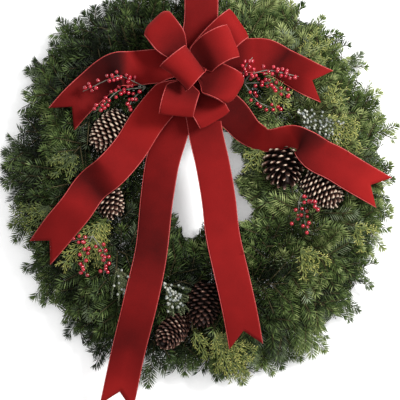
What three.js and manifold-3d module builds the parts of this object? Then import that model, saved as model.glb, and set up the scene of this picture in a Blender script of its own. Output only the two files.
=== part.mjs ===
// Fresh evergreen wreath with a ribbon bow, lying on its back.
// Millimetres. X runs to the right and Y to the top of the wreath as it hangs, Z to the front.
import * as THREE from 'three';
import { mergeVertices } from 'three/addons/utils/BufferGeometryUtils.js';
import Module from 'manifold-3d';

const solids = await Module();
solids.setup();

// Clamp ring that carries everything: two wire hoops joined by one clamp for each bunch
const INNER_HOOP_RADIUS = 165;
const OUTER_HOOP_RADIUS = 190;
const HOOP_WIRE = 4;
const CLAMP_WIRE = 2.6;
const CLAMP_BEND_RADIUS = 12.9;
const CLAMP_SHIFT = 8;
const BUNCHES = 12;
const CLEARANCE = 0.35;

// Bunches of fir: stems laid along the ring, sprays fanned out of them
const STEMS_RADIUS_AT_CLAMP = 10;
const STEMS_RADIUS_AT_END = 7.5;
const TWIG_RADII = [2.2, 1.9, 1.3];
const TWIG_SIDES = 4;
const INNER_REACH = 92;
const NEEDLE_LENGTH = 21;
const NEEDLE_WIDTH = 1.5;
const NEEDLE_THICKNESS = 1;
const NEEDLES_PER_SPRAY = 4;
const SWEEP = 4;
// Radius of the foliage's outline every 15 degrees, from the right-hand side anticlockwise
const OUTLINE = [292, 304, 301, 302, 306, 300, 298, 300, 298, 316, 304, 290,
  297, 298, 297, 306, 306, 298, 300, 312, 314, 308, 300, 296];
// Height of the foliage's front above the surface, at distances from the wreath's centre
const FRONT_PROFILE = [[0, 40], [85, 44], [110, 62], [180, 80], [260, 56], [300, 38], [400, 30]];

// Ribbon and bow
const RIBBON_WIDTH = 50;
const RIBBON_THICKNESS = 1;
const GATHERED_WIDTH = 10;
const GATHER_LENGTH = 42;
const NOTCH_DEPTH = 26;
const KNOT = { x: -13.5, y: 153, radius: 8, low: 74, high: 116 };
const LAYER_HEIGHT = 3;

// What is tucked in among the fir
const CONE_LENGTH = 72;
const CONE_RADIUS = 25;
const BERRY_RADIUS = 3;
const STALK_RADIUS = 0.9;
const PICK_RADIUS = 1.2;
const JUNIPER_BERRY_RADIUS = 2.6;
const CEDAR_BLADE = 1.2;
const CEDAR_BLADE_WIDTH = 4;
const GOLDEN_ANGLE = 137.5;

const material = (color, roughness, metalness = 0) =>
  new THREE.MeshStandardMaterial({ color, roughness, metalness });
const FIR_GREEN = material(0x33502c, 0.7);
const CEDAR_GREEN = material(0x8f9440, 0.65);
const JUNIPER_GREEN = material(0x5f7464, 0.65);
const RIBBON_RED = material(0xa01a1e, 0.85);
const CONE_BROWN = material(0x4b2f22, 0.8);
const BERRY_RED = material(0xc3202f, 0.3);
const WIRE_GREEN = material(0x1f2b22, 0.5, 0.6);

// Small helpers for numbers and directions
const vec = (x, y, z) => new THREE.Vector3(x, y, z);
const mix = (a, b, t) => a + (b - a) * t;
const range = (count) => Array.from({ length: count }, (unused, i) => i);
const radians = (degrees) => degrees * Math.PI / 180;
const polar = (radius, degrees, z) =>
  vec(radius * Math.cos(radians(degrees)), radius * Math.sin(radians(degrees)), z);
const azimuthOf = (x, y) => THREE.MathUtils.radToDeg(Math.atan2(y, x));
const UP = vec(0, 0, 1);

// A repeatable number from 0 to 1 for the given keys
function chance(first, second, third) {
  const value = Math.sin(first * 12.9898 + second * 78.233 + third * 37.719) * 43758.5453;
  return value - Math.floor(value);
}

function frontHeight(radius) {
  const next = FRONT_PROFILE.findIndex(([r]) => r > radius);
  const [[r0, h0], [r1, h1]] = [FRONT_PROFILE[next - 1], FRONT_PROFILE[next]];
  return mix(h0, h1, (radius - r0) / (r1 - r0));
}

function outlineRadius(degrees) {
  const place = (((degrees % 360) + 360) % 360) / 360 * OUTLINE.length;
  const from = Math.floor(place);
  return mix(OUTLINE[from], OUTLINE[(from + 1) % OUTLINE.length], place - from);
}

// Closed body through rings of points, each ring anticlockwise about the direction of travel;
// it has flat ends, or joins up with its own start
function loft(rings, joinsUp = false) {
  const sides = rings[0].length;
  const index = [];
  for (const ring of range(joinsUp ? rings.length : rings.length - 1)) {
    for (const side of range(sides)) {
      const next = (side + 1) % sides;
      const [here, there] = [ring * sides, ((ring + 1) % rings.length) * sides];
      index.push(here + side, here + next, there + side);
      index.push(here + next, there + next, there + side);
    }
  }
  const last = (rings.length - 1) * sides;
  for (const side of range(joinsUp ? 0 : sides - 2)) {
    index.push(0, side + 2, side + 1, last, last + side + 1, last + side + 2);
  }
  return geometryOf(rings.flat(), index);
}

function geometryOf(points, index) {
  const geometry = new THREE.BufferGeometry();
  const positions = points.flatMap((point) => point.toArray());
  geometry.setAttribute('position', new THREE.Float32BufferAttribute(positions, 3));
  geometry.setIndex(index);
  return geometry;
}

// Direction of travel at each point of a path
function directions(points) {
  return points.map((point, i) => {
    const before = points[Math.max(i - 1, 0)];
    const after = points[Math.min(i + 1, points.length - 1)];
    return after.clone().sub(before).normalize();
  });
}

// Tube with a regular section; radii holds one value for each point
function tube(points, radii, sides) {
  const travel = directions(points);
  let over = Math.abs(travel[0].z) > 0.9 ? vec(1, 0, 0) : UP;
  return loft(points.map((point, i) => {
    over = over.clone().addScaledVector(travel[i], -over.dot(travel[i])).normalize();
    const side = over.clone().cross(travel[i]);
    return range(sides).map((k) => {
      const turn = 2 * Math.PI * (k + 0.5) / sides;
      return point.clone()
        .addScaledVector(side, radii[i] * Math.cos(turn))
        .addScaledVector(over, radii[i] * Math.sin(turn));
    });
  }));
}

// Three-sided spike from a root to a point, its flat side away from up
function spike(root, tip, width, thickness, up) {
  const along = tip.clone().sub(root).normalize();
  const side = along.clone().cross(up).normalize();
  const over = side.clone().cross(along);
  const corners = [
    root.clone().addScaledVector(side, width / 2).addScaledVector(over, -thickness / 3),
    root.clone().addScaledVector(over, thickness * 2 / 3),
    root.clone().addScaledVector(side, -width / 2).addScaledVector(over, -thickness / 3),
    tip,
  ];
  return geometryOf(corners, [0, 1, 2, 0, 3, 1, 1, 3, 2, 2, 3, 0]);
}

function solidOf(geometry) {
  const bare = geometry.clone();
  bare.deleteAttribute('normal');
  bare.deleteAttribute('uv');
  const merged = mergeVertices(bare, 1e-4);
  const solid = new solids.Manifold(new solids.Mesh({
    numProp: 3,
    vertProperties: Float32Array.from(merged.attributes.position.array),
    triVerts: Uint32Array.from(merged.index.array),
  }));
  if (solid.isEmpty() || solid.volume() <= 0) {
    throw new Error('a piece is empty or inside out');
  }
  return solid;
}

// Every piece placed so far, each with the node that it belongs to
const placed = [];
const nodes = new Map();

function boxesMeet(a, b) {
  return [0, 1, 2].every((axis) => a.min[axis] <= b.max[axis] && b.min[axis] <= a.max[axis]);
}

// True where a piece of the named node would touch no other node and stay above the surface
function isClear(owner, geometry) {
  const solid = solidOf(geometry);
  const box = solid.boundingBox();
  return box.min[2] > 0 && !placed.some((other) => other.owner !== owner
    && boxesMeet(box, other.box) && !other.solid.intersect(solid).isEmpty());
}

function addSolid(owner, finish, solid) {
  placed.push({ owner, solid, box: solid.boundingBox() });
  if (!nodes.has(owner)) {
    nodes.set(owner, { finish, parts: [] });
  }
  nodes.get(owner).parts.push(solid);
}

function add(owner, finish, geometry) {
  addSolid(owner, finish, solidOf(geometry));
}

// Wire ring: two hoops, and under each bunch a cross wire whose ends bend over its stems
const stemsCircle = (INNER_HOOP_RADIUS + OUTER_HOOP_RADIUS) / 2;
const stemsHeight = HOOP_WIRE + CLEARANCE + STEMS_RADIUS_AT_CLAMP;
const bunchAngle = 360 / BUNCHES;
const bunchStart = (bunch) => 90 + bunch * bunchAngle;

function addHoop(radius) {
  const steps = 32;
  const half = HOOP_WIRE / 2;
  add('wire_ring', WIRE_GREEN, loft(range(steps).map((i) => {
    const angle = 360 * i / steps;
    return [
      polar(radius + half, angle, 0),
      polar(radius - half, angle, 0),
      polar(radius - half, angle, HOOP_WIRE),
      polar(radius + half, angle, HOOP_WIRE),
    ];
  }), true));
}

function addClamp(bunch) {
  const angle = bunchStart(bunch) + CLAMP_SHIFT;
  const bent = (turn) => polar(stemsCircle + CLAMP_BEND_RADIUS * Math.cos(radians(turn)), angle,
    stemsHeight + CLAMP_BEND_RADIUS * Math.sin(radians(turn)));
  const crossWire = HOOP_WIRE - CLAMP_WIRE / 2;
  const path = [
    bent(68), bent(17),
    polar(stemsCircle + CLAMP_BEND_RADIUS, angle, crossWire),
    polar(stemsCircle - CLAMP_BEND_RADIUS, angle, crossWire),
    bent(163), bent(112),
  ];
  add('wire_ring', WIRE_GREEN, tube(path, path.map(() => CLAMP_WIRE / 2), 4));
}

// Stems of one fir bunch, thick under the clamp and thinner where the next bunch begins
const bunchName = (bunch) => `fir_bunch_${String(bunch + 1).padStart(2, '0')}`;

function addStems(bunch) {
  const steps = 2;
  const gapAngle = 0.36;
  const path = range(steps + 1).map((i) => polar(stemsCircle,
    mix(bunchStart(bunch) + gapAngle, bunchStart(bunch + 1) - gapAngle, i / steps), stemsHeight));
  const radii = path.map((unused, i) =>
    mix(STEMS_RADIUS_AT_CLAMP, STEMS_RADIUS_AT_END, i / steps));
  add(bunchName(bunch), FIR_GREEN, tube(path, radii, 6));
}

// Stalk or wire from its head down towards its seat, ending the clearance above what it meets
function addStalk(owner, finish, head, seat, radius) {
  const way = seat.clone().sub(head).normalize();
  const stalk = (share, extra) => {
    const end = head.clone().lerp(seat, share).addScaledVector(way, extra);
    return tube([head, end], [radius + extra, radius * 0.8 + extra], 4);
  };
  const closeEnough = 0.001;
  let reached = 0.02;
  let blocked = 1;
  while (blocked - reached > closeEnough) {
    const middle = (reached + blocked) / 2;
    if (isClear(owner, stalk(middle, CLEARANCE))) {
      reached = middle;
    } else {
      blocked = middle;
    }
  }
  add(owner, finish, stalk(reached, 0));
}

// Middle of the stems nearest to a place in the wreath
const seatUnder = (point) => polar(stemsCircle, azimuthOf(point.x, point.y), stemsHeight);

// Ribbon: a flat strip along stations that hold its middle, its width direction and its width
function strip(stations) {
  const travel = directions(stations.map((station) => station.middle));
  return loft(stations.map(({ middle, across, width }, i) => {
    const side = across.clone().addScaledVector(travel[i], -across.dot(travel[i])).normalize();
    const over = side.clone().cross(travel[i]);
    const corner = (a, b) => middle.clone().addScaledVector(side, a * width / 2)
      .addScaledVector(over, b * RIBBON_THICKNESS / 2);
    return [corner(1, -1), corner(-1, -1), corner(-1, 1), corner(1, 1)];
  }));
}

function gatheredWidth(distance) {
  const share = Math.min(distance / GATHER_LENGTH, 1);
  return mix(GATHERED_WIDTH, RIBBON_WIDTH, share * share * (3 - 2 * share));
}

// Smooth path through points of [x, y, z, roll], two steps for each span
function smoothRoute(points, steps = 2) {
  const curve = new THREE.CatmullRomCurve3(points.map(([x, y, z]) => vec(x, y, z)), false,
    'centripetal');
  const count = (points.length - 1) * steps;
  return range(count + 1).map((i) => {
    const span = Math.min(Math.floor(i / steps), points.length - 2);
    const roll = mix(points[span][3] ?? 0, points[span + 1][3] ?? 0, i / steps - span);
    return { middle: curve.getPoint(i / count), roll };
  });
}

function runningLengths(route) {
  let total = 0;
  return route.map(({ middle }, i) => {
    total += i === 0 ? 0 : middle.distanceTo(route[i - 1].middle);
    return total;
  });
}

const layerHeight = (layer) => KNOT.low + LAYER_HEIGHT * (layer + 1);

// Where a ribbon leaves the knot towards a place, at its layer's height
function knotExit(x, y, layer) {
  const out = vec(x - KNOT.x, y - KNOT.y, 0).setLength(KNOT.radius + CLEARANCE);
  return [KNOT.x + out.x, KNOT.y + out.y, layerHeight(layer)];
}

// Tail: from the knot along its points, with a V cut into its free end if it is notched
function addTail(name, layer, points, notched) {
  const route = smoothRoute([knotExit(points[0][0], points[0][1], layer), ...points]);
  const travel = directions(route.map((station) => station.middle));
  const lengths = runningLengths(route);
  const stations = route.map(({ middle, roll }, i) => {
    const across = travel[i].clone().cross(UP).normalize()
      .applyAxisAngle(travel[i], radians(roll));
    return { middle, across, width: gatheredWidth(lengths[i]) };
  });
  let solid = solidOf(strip(stations));
  if (notched) {
    const { middle, across } = stations.at(-1);
    const along = travel.at(-1);
    const over = across.clone().cross(along);
    const beyond = 1.25;
    const reach = 12;
    const mouth = middle.clone().addScaledVector(along, NOTCH_DEPTH * (beyond - 1));
    const wedge = [-reach, reach].map((rise) => [
      mouth.clone().addScaledVector(across, -RIBBON_WIDTH / 2 * beyond),
      middle.clone().addScaledVector(along, -NOTCH_DEPTH),
      mouth.clone().addScaledVector(across, RIBBON_WIDTH / 2 * beyond),
    ].map((point) => point.addScaledVector(over, rise)));
    solid = solid.subtract(solidOf(loft(wedge)));
  }
  addSolid(name, RIBBON_RED, solid);
}

// Loop stations from plain points, gathered at both ends, its width held in one direction
function addLoopThrough(name, points, acrossAngle) {
  const route = smoothRoute(points, 1);
  const lengths = runningLengths(route);
  const across = polar(1, acrossAngle, 0);
  add(name, RIBBON_RED, strip(route.map(({ middle }, i) => {
    const toEnd = Math.min(lengths[i], lengths.at(-1) - lengths[i]);
    return { middle, across, width: gatheredWidth(toEnd) };
  })));
}

// Loop of the bow: out along a low run, round its end and back over a high run
function addLoop({ name, via, end, across, low, high, layers }) {
  const plan = (t) => {
    const [a, b] = [mix(KNOT.x, via[0], t), mix(KNOT.y, via[1], t)];
    return [mix(a, mix(via[0], end[0], t), t), mix(b, mix(via[1], end[1], t), t)];
  };
  const [bottom, top] = layers.map(layerHeight);
  const lowRun = [[0.3, mix(bottom, low, 0.7)], [0.55, low], [0.8, low + 2], [0.95, low + 7]];
  const highRun = [[0.95, high - 5], [0.8, high], [0.55, high - 3], [0.3, mix(top, high, 0.25)]];
  addLoopThrough(name, [
    knotExit(...plan(0.3), layers[0]),
    ...lowRun.map(([t, z]) => [...plan(t), z]),
    [...plan(1), (low + high) / 2 + 1],
    ...highRun.map(([t, z]) => [...plan(t), z]),
    knotExit(...plan(0.3), layers[1]),
  ], across);
}

// Small upright loop that covers the knot
function addCentreLoop() {
  const centre = { x: -20.3, y: 164.3, z: 135, reach: 19, rise: 14.5 };
  const heading = 43;
  const [cos, sin] = [Math.cos(radians(heading)), Math.sin(radians(heading))];
  const dip = 2.2;
  const onKnot = KNOT.high + CLEARANCE + dip;
  const [start, finish] = [-1, 1].map((way) => [KNOT.x + way * cos, KNOT.y + way * sin, onKnot]);
  const turns = [205, 170, 140, 110, 80, 50, 20, -10, -30];
  addLoopThrough('bow_loop_centre', [
    start,
    ...turns.map((turn) => {
      const out = centre.reach * Math.cos(radians(turn));
      return [centre.x + out * cos, centre.y + out * sin,
        centre.z + centre.rise * Math.sin(radians(turn))];
    }),
    finish,
  ], heading + 90);
}

// Pine cone on a wire pick: a tapered body set with scales in a spiral
function addCone({ name, x, y, z, heading, tilt }) {
  const axis = polar(Math.cos(radians(tilt)), heading, Math.sin(radians(tilt)));
  const side = axis.clone().cross(UP).normalize();
  const over = side.clone().cross(axis);
  const centre = vec(x, y, z);
  const spot = (along, outward, turn) => centre.clone().addScaledVector(axis, along)
    .addScaledVector(side, outward * Math.cos(radians(turn)))
    .addScaledVector(over, outward * Math.sin(radians(turn)));
  const half = CONE_LENGTH / 2;
  const rows = 7;
  const scalesPerRow = 6;
  const turnPerPoint = 180 / scalesPerRow;
  const valley = 0.74;
  const overhang = 3.5;
  const rings = range(rows + 2).map((row) => {
    const t = row / (rows + 1);
    const bulge = Math.sqrt(Math.sin(Math.PI * mix(0.1, 0.96, t)));
    const isEnd = row === 0 || row === rows + 1;
    return range(scalesPerRow * 2).map((k) => {
      const isTip = (k + row) % 2 === 0 && !isEnd;
      const outward = CONE_RADIUS * bulge * (isTip ? 1 : valley);
      return spot(mix(-half, half, t) + (isTip ? overhang : 0), outward, -turnPerPoint * k);
    });
  });
  add(name, CONE_BROWN, loft(rings));
  const heel = spot(-half + 8, 0, 0);
  addStalk(name, CONE_BROWN, heel, seatUnder(heel), PICK_RADIUS);
}

// Red berries: woody stalks from one root, with short-stalked berries to left and right
function addBerrySpray({ name, root, lift = 6, stems }) {
  const raised = ([x, y, extra = 0]) => vec(x, y, frontHeight(Math.hypot(x, y)) + lift + extra);
  const head = raised(root);
  addStalk(name, BERRY_RED, head, seatUnder(head), STALK_RADIUS * 1.4);
  for (const stem of stems) {
    const path = [head, ...stem.map(raised)];
    add(name, BERRY_RED, tube(path, path.map((unused, i) =>
      STALK_RADIUS * (i === path.length - 1 ? 0.8 : 1.2)), 3));
    const travel = directions(path);
    path.slice(1).forEach((point, i) => {
      const side = travel[i + 1].clone().cross(UP).normalize();
      const isEnd = i === path.length - 2;
      for (const way of isEnd ? [-1, 1] : [i % 2 * 2 - 1]) {
        const berry = point.clone().addScaledVector(side, way * BERRY_RADIUS * 0.75)
          .addScaledVector(travel[i + 1], isEnd ? way * BERRY_RADIUS * 0.5 : 0)
          .add(vec(0, 0, BERRY_RADIUS * 0.25));
        add(name, BERRY_RED, new THREE.IcosahedronGeometry(BERRY_RADIUS, 0)
          .translate(...berry.toArray()));
      }
    });
  }
}

// Flat cedar spray: a midrib with thin side blades in one plane
function addCedarSpray({ name, root, tip }) {
  const raised = ([x, y]) => vec(x, y, frontHeight(Math.hypot(x, y)) + 4);
  const [start, end] = [raised(root), raised(tip)];
  addStalk(name, CEDAR_GREEN, start, seatUnder(start), PICK_RADIUS);
  const along = end.clone().sub(start);
  const length = along.length();
  const forward = along.clone().normalize();
  const side = forward.clone().cross(UP).normalize();
  add(name, CEDAR_GREEN, spike(start, end, CEDAR_BLADE_WIDTH * 1.3, CEDAR_BLADE * 2, UP));
  const pairs = 4;
  for (const pair of range(pairs)) {
    for (const way of [-1, 1]) {
      const t = (pair + (way > 0 ? 0.35 : 0.8)) / pairs * 0.9;
      const from = start.clone().addScaledVector(along, t);
      const blade = length * mix(0.42, 0.2, t);
      const to = from.clone().addScaledVector(forward, blade * 0.8)
        .addScaledVector(side, way * blade * 0.6);
      add(name, CEDAR_GREEN, spike(from, to, CEDAR_BLADE_WIDTH, CEDAR_BLADE, UP));
    }
  }
}

// Juniper spray: a few short shoots with pale round berries along them
function addJuniperSpray({ name, root, tip }) {
  const raised = ([x, y]) => vec(x, y, frontHeight(Math.hypot(x, y)) + 3);
  const [start, end] = [raised(root), raised(tip)];
  addStalk(name, JUNIPER_GREEN, start, seatUnder(start), PICK_RADIUS);
  const forward = end.clone().sub(start);
  const side = forward.clone().cross(UP).normalize();
  const shoots = 3;
  const berriesPerShoot = 2;
  for (const shoot of range(shoots)) {
    const lean = (shoot - 1) * forward.length() * 0.4;
    const to = end.clone().addScaledVector(side, lean);
    add(name, JUNIPER_GREEN, tube([start, to], [1.4, 0.9], 3));
    for (const berry of range(berriesPerShoot)) {
      const spot = start.clone().lerp(to, (berry + 1) / berriesPerShoot)
        .addScaledVector(side, (berry % 2 - 0.5) * JUNIPER_BERRY_RADIUS);
      add(name, JUNIPER_GREEN, new THREE.OctahedronGeometry(JUNIPER_BERRY_RADIUS, 0)
        .translate(spot.x, spot.y, spot.z + 1));
    }
  }
}

// Sprays of one fir bunch: how far along it each leaves, where it leans and how high it ends
const SPRAYS = [
  { along: 0.08, kind: 'outer', rise: 0.3 },
  { along: 0.34, kind: 'outer', rise: 0.85 },
  { along: 0.6, kind: 'outer', rise: 0.3 },
  { along: 0.86, kind: 'outer', rise: 0.85 },
  { along: 0.3, kind: 'front', lean: 42 },
  { along: 0.78, kind: 'front', lean: -6 },
  { along: 0.3, kind: 'inner', rise: 0.75 },
  { along: 0.8, kind: 'inner', rise: 0.35 },
];

function sprayTip({ kind, rise = 1, lean = 0 }, angle, bunch, order) {
  const drift = chance(bunch, order, 1) - 0.5;
  if (kind === 'outer') {
    const tipAngle = angle + SWEEP + 3 * drift;
    const radius = outlineRadius(tipAngle) - NEEDLE_LENGTH * 0.7 - 8 * (1 - rise);
    return polar(radius, tipAngle, mix(4, frontHeight(radius) - 4, rise));
  }
  const radius = kind === 'front' ? stemsCircle + lean : INNER_REACH + 10 * drift;
  const height = (frontHeight(radius) - (kind === 'front' ? 8 : 4)) * rise;
  return polar(radius, angle + SWEEP * 0.5, height);
}

// Path of a spray's slim core: out of the stems, then over towards its tip
function sprayPath(root, tip, share) {
  const middle = root.clone().lerp(tip, 0.5);
  middle.z += 0.12 * root.distanceTo(tip) * (tip.z > root.z ? 1 : 0.4);
  const curve = new THREE.QuadraticBezierCurve3(root, middle, tip);
  return [0, 0.5, 1].map((t) => curve.getPoint(t * share));
}

// Slim cores of a bunch's sprays, each as long as its neighbours leave it room to be
function addSprayCores(bunch) {
  const owner = bunchName(bunch);
  const fits = (root, tip, share) => isClear(owner,
    tube(sprayPath(root, tip, share), TWIG_RADII.map((radius) => radius + CLEARANCE),
      TWIG_SIDES));
  return SPRAYS.flatMap((spray, order) => {
    const angle = bunchStart(bunch) + bunchAngle * spray.along;
    const root = polar(stemsCircle, angle, stemsHeight + 2);
    const tip = sprayTip(spray, angle, bunch, order);
    const share = [1, 0.85, 0.7, 0.55, 0.4].find((option) => fits(root, tip, option));
    if (share === undefined) {
      return [];
    }
    const path = sprayPath(root, tip, share);
    add(owner, FIR_GREEN, tube(path, TWIG_RADII, TWIG_SIDES));
    return [{ order, path }];
  });
}

// Needles of one spray, even on all sides and one at its very tip
function addNeedles(bunch, { order, path }) {
  const owner = bunchName(bunch);
  const curve = new THREE.CatmullRomCurve3(path);
  for (const number of range(NEEDLES_PER_SPRAY)) {
    const last = number === NEEDLES_PER_SPRAY - 1;
    const t = last ? 0.97 : mix(0.42, 0.92, number / (NEEDLES_PER_SPRAY - 2));
    const root = curve.getPoint(t);
    const along = curve.getTangent(t);
    const turn = (number + order * 0.5) * GOLDEN_ANGLE + 360 * chance(bunch, order, 2);
    const side = along.clone().cross(UP).normalize();
    const outward = side.applyAxisAngle(along, radians(turn));
    const spread = last ? 0.15 : 0.85;
    const heading = along.clone().multiplyScalar(1 - spread * 0.4)
      .addScaledVector(outward, spread).normalize();
    const tipAt = (length) => root.clone().addScaledVector(heading, length);
    const thickened = (length) => spike(tipAt(1), tipAt(length + 1), NEEDLE_WIDTH + 3 * CLEARANCE,
      NEEDLE_THICKNESS + 3 * CLEARANCE, along);
    const length = [1, 0.75, 0.5].map((share) => share * NEEDLE_LENGTH)
      .find((option) => isClear(owner, thickened(option)));
    if (length !== undefined) {
      add(owner, FIR_GREEN,
        spike(root, tipAt(length), NEEDLE_WIDTH, NEEDLE_THICKNESS, along));
    }
  }
}

// Wire that holds the bow: a twisted pair from the inner hoop up to the knot
function addBowWire() {
  const wireRadius = 1.6;
  const seatAngle = azimuthOf(KNOT.x, INNER_HOOP_RADIUS);
  const path = [
    polar(INNER_HOOP_RADIUS, seatAngle, HOOP_WIRE + CLEARANCE),
    polar(INNER_HOOP_RADIUS - 3, seatAngle, 30),
    vec(KNOT.x, KNOT.y, KNOT.low - 18),
    vec(KNOT.x, KNOT.y, KNOT.low - CLEARANCE),
  ];
  add('bow_wire', WIRE_GREEN, tube(path, path.map(() => wireRadius), 6));
}

function addKnot() {
  const heights = [0, 0.35, 0.65, 1];
  const path = heights.map((t) => vec(KNOT.x, KNOT.y, mix(KNOT.low, KNOT.high, t)));
  add('bow_knot', RIBBON_RED, tube(path, path.map(() => KNOT.radius), 8));
}

const LOOPS = [
  { name: 'bow_loop_upper_left', via: [-36, 191], end: [-68, 232], across: 44,
    low: 87, high: 116, layers: [3, 6] },
  { name: 'bow_loop_upper_right_back', via: [24, 208], end: [62, 236], across: -56,
    low: 91, high: 107, layers: [3, 6] },
  { name: 'bow_loop_lower_right_back', via: [9, 107], end: [23, 84], across: 211,
    low: 87, high: 103, layers: [3, 6] },
  { name: 'bow_loop_upper_right_front', via: [9, 192], end: [50, 205], across: -68,
    low: 110, high: 132, layers: [7, 10] },
  { name: 'bow_loop_bottom', via: [-29, 128], end: [-37, 93], across: 172,
    low: 107, high: 128, layers: [7, 10] },
  { name: 'bow_loop_right', via: [24, 150], end: [60, 129], across: -120,
    low: 107, high: 130, layers: [8, 11] },
];

const TAILS = [
  { name: 'ribbon_tail_upper_left', layer: 1, points: [[-56, 166, 81], [-90, 165, 80],
    [-121, 162, 92], [-143, 151, 86], [-162, 135, 82], [-186, 111, 80], [-207, 88, 72]] },
  { name: 'ribbon_tail_lower_left', layer: 2, points: [[-48, 121, 85], [-79, 84, 82],
    [-105, 43, 84], [-127, 18, 98], [-162, -7, 84], [-187, -45, 90], [-208, -73, 80],
    [-240, -112, 62, 35]] },
  { name: 'ribbon_tail_long_left', layer: 0, points: [[-30, 110, 75], [-45, 64, 69],
    [-57, 24, 64], [-65, -33, 62], [-73, -110, 76], [-88, -186, 88], [-106, -262, 66],
    [-121, -336, 44]] },
  { name: 'ribbon_tail_long_right', layer: 1, points: [[4, 94, 78], [10, 64, 73],
    [21, 20, 67], [30, -33, 64], [35, -85, 66], [46, -144, 82], [58, -198, 88],
    [68, -252, 72]] },
  { name: 'ribbon_tail_upper_right', layer: 0, points: [[22, 166, 79], [60, 181, 84],
    [97, 183, 94], [125, 171, 88], [163, 147, 86], [189, 136, 80]] },
  { name: 'ribbon_tail_lower_right', layer: 2, points: [[22, 117, 84], [48, 96, 79],
    [73, 66, 74], [102, 57, 78, 40], [133, 64, 92, 45], [154, 60, 102, 20], [177, 36, 92, -10],
    [199, 22, 91], [231, 3, 80], [276, -22, 60]] },
];

// Hanging band: over the top of the foliage and tucked in behind, up to the outer hoop
const BAND = { name: 'ribbon_top_band', layer: 1, points: [[-6, 189, 83], [1, 231, 81],
  [2, 266, 70], [2, 292, 52], [2, 303, 30], [2, 294, 9], [2, 268, 3],
  [2, OUTER_HOOP_RADIUS + HOOP_WIRE / 2 + CLEARANCE, 2]] };

const CONES = [
  { name: 'pine_cone_upper_left', x: -138, y: 70, z: 62, heading: 232, tilt: 10 },
  { name: 'pine_cone_right_inner', x: 127, y: 18, z: 56, heading: -60, tilt: 50 },
  { name: 'pine_cone_right_outer', x: 184, y: -18, z: 60, heading: -36, tilt: 8 },
  { name: 'pine_cone_left', x: -140, y: -30, z: 50, heading: -60, tilt: 10 },
  { name: 'pine_cone_bottom_left', x: -42, y: -232, z: 50, heading: 215, tilt: 35 },
  { name: 'pine_cone_bottom', x: 4, y: -190, z: 52, heading: 262, tilt: 15 },
];

const BERRY_SPRAYS = [
  { name: 'red_berries_upper_left', root: [-81, 135], stems: [
    [[-120, 153, 26], [-146, 141, 22], [-174, 128, 20]],
    [[-123, 130, 6], [-144, 106, 20], [-158, 96, 18]],
    [[-102, 116, 2], [-108, 98, 6]],
  ] },
  { name: 'red_berries_upper_right', root: [66, 141], stems: [
    [[72, 152, 20], [99, 160, 28], [146, 150, 22]],
    [[102, 142, 2], [135, 122]],
    [[86, 113], [122, 98]],
  ] },
  { name: 'red_berries_right', root: [147, -36], stems: [
    [[152, -22, 2], [160, -36, 3], [178, -44, 20]],
    [[147, -52], [136, -72]],
    [[156, -52], [156, -70], [164, -80]],
  ] },
  { name: 'red_berries_lower_left', root: [-160, -87], stems: [
    [[-174, -110], [-171, -148]],
    [[-140, -114], [-144, -147]],
    [[-184, -93], [-204, -98]],
  ] },
];

const CEDAR_SPRAYS = [
  { name: 'cedar_spray_right', root: [190, 90], tip: [238, 44] },
  { name: 'cedar_spray_upper_right', root: [192, 104], tip: [214, 142] },
  { name: 'cedar_spray_top_right', root: [150, 184], tip: [204, 206] },
  { name: 'cedar_spray_left', root: [-140, -58], tip: [-208, -134] },
  { name: 'cedar_spray_far_left', root: [-226, -42], tip: [-284, -86] },
  { name: 'cedar_spray_upper_left', root: [-178, 30], tip: [-226, -14] },
  { name: 'cedar_spray_bottom', root: [22, -236], tip: [74, -304] },
  { name: 'cedar_spray_bottom_left', root: [-12, -228], tip: [4, -282] },
];

const JUNIPER_SPRAYS = [
  { name: 'juniper_spray_right', root: [146, 100], tip: [184, 64] },
  { name: 'juniper_spray_bottom', root: [-54, -156], tip: [-22, -200] },
  { name: 'juniper_spray_left', root: [-126, -134], tip: [-104, -174] },
];

addHoop(INNER_HOOP_RADIUS);
addHoop(OUTER_HOOP_RADIUS);
range(BUNCHES).forEach(addClamp);
range(BUNCHES).forEach(addStems);
addBowWire();
addKnot();
TAILS.forEach(({ name, layer, points }) => addTail(name, layer, points, true));
addTail(BAND.name, BAND.layer, BAND.points, false);
LOOPS.forEach(addLoop);
addCentreLoop();
CONES.forEach(addCone);
BERRY_SPRAYS.forEach(addBerrySpray);
CEDAR_SPRAYS.forEach(addCedarSpray);
JUNIPER_SPRAYS.forEach(addJuniperSpray);
const sprays = range(BUNCHES).map(addSprayCores);
sprays.forEach((list, bunch) => list.forEach((spray) => addNeedles(bunch, spray)));

// One mesh for each node, its pieces joined into one body
const wreath = new THREE.Group();
for (const [name, { finish, parts }] of nodes) {
  const { vertProperties, triVerts } = solids.Manifold.union(parts).getMesh();
  const geometry = new THREE.BufferGeometry();
  geometry.setAttribute('position', new THREE.Float32BufferAttribute(vertProperties, 3));
  geometry.setIndex(Array.from(triVerts));
  geometry.computeVertexNormals();
  const mesh = new THREE.Mesh(geometry, finish);
  mesh.name = name;
  wreath.add(mesh);
}

// The part's origin is the middle of its underside
const bounds = new THREE.Box3().setFromObject(wreath);
const middle = bounds.getCenter(vec(0, 0, 0));
wreath.position.set(-middle.x, -middle.y, -bounds.min.z);
wreath.updateMatrixWorld(true);

export default wreath;
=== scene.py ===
# Fresh evergreen wreath with a red velvet bow, lying on its back on a pale floor.
# Lengths in the lists are millimetres from the middle of the wire ring; meshes are in metres.
import math

import bpy
import numpy as np
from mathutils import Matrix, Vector
from mathutils.bvhtree import BVHTree


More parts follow.
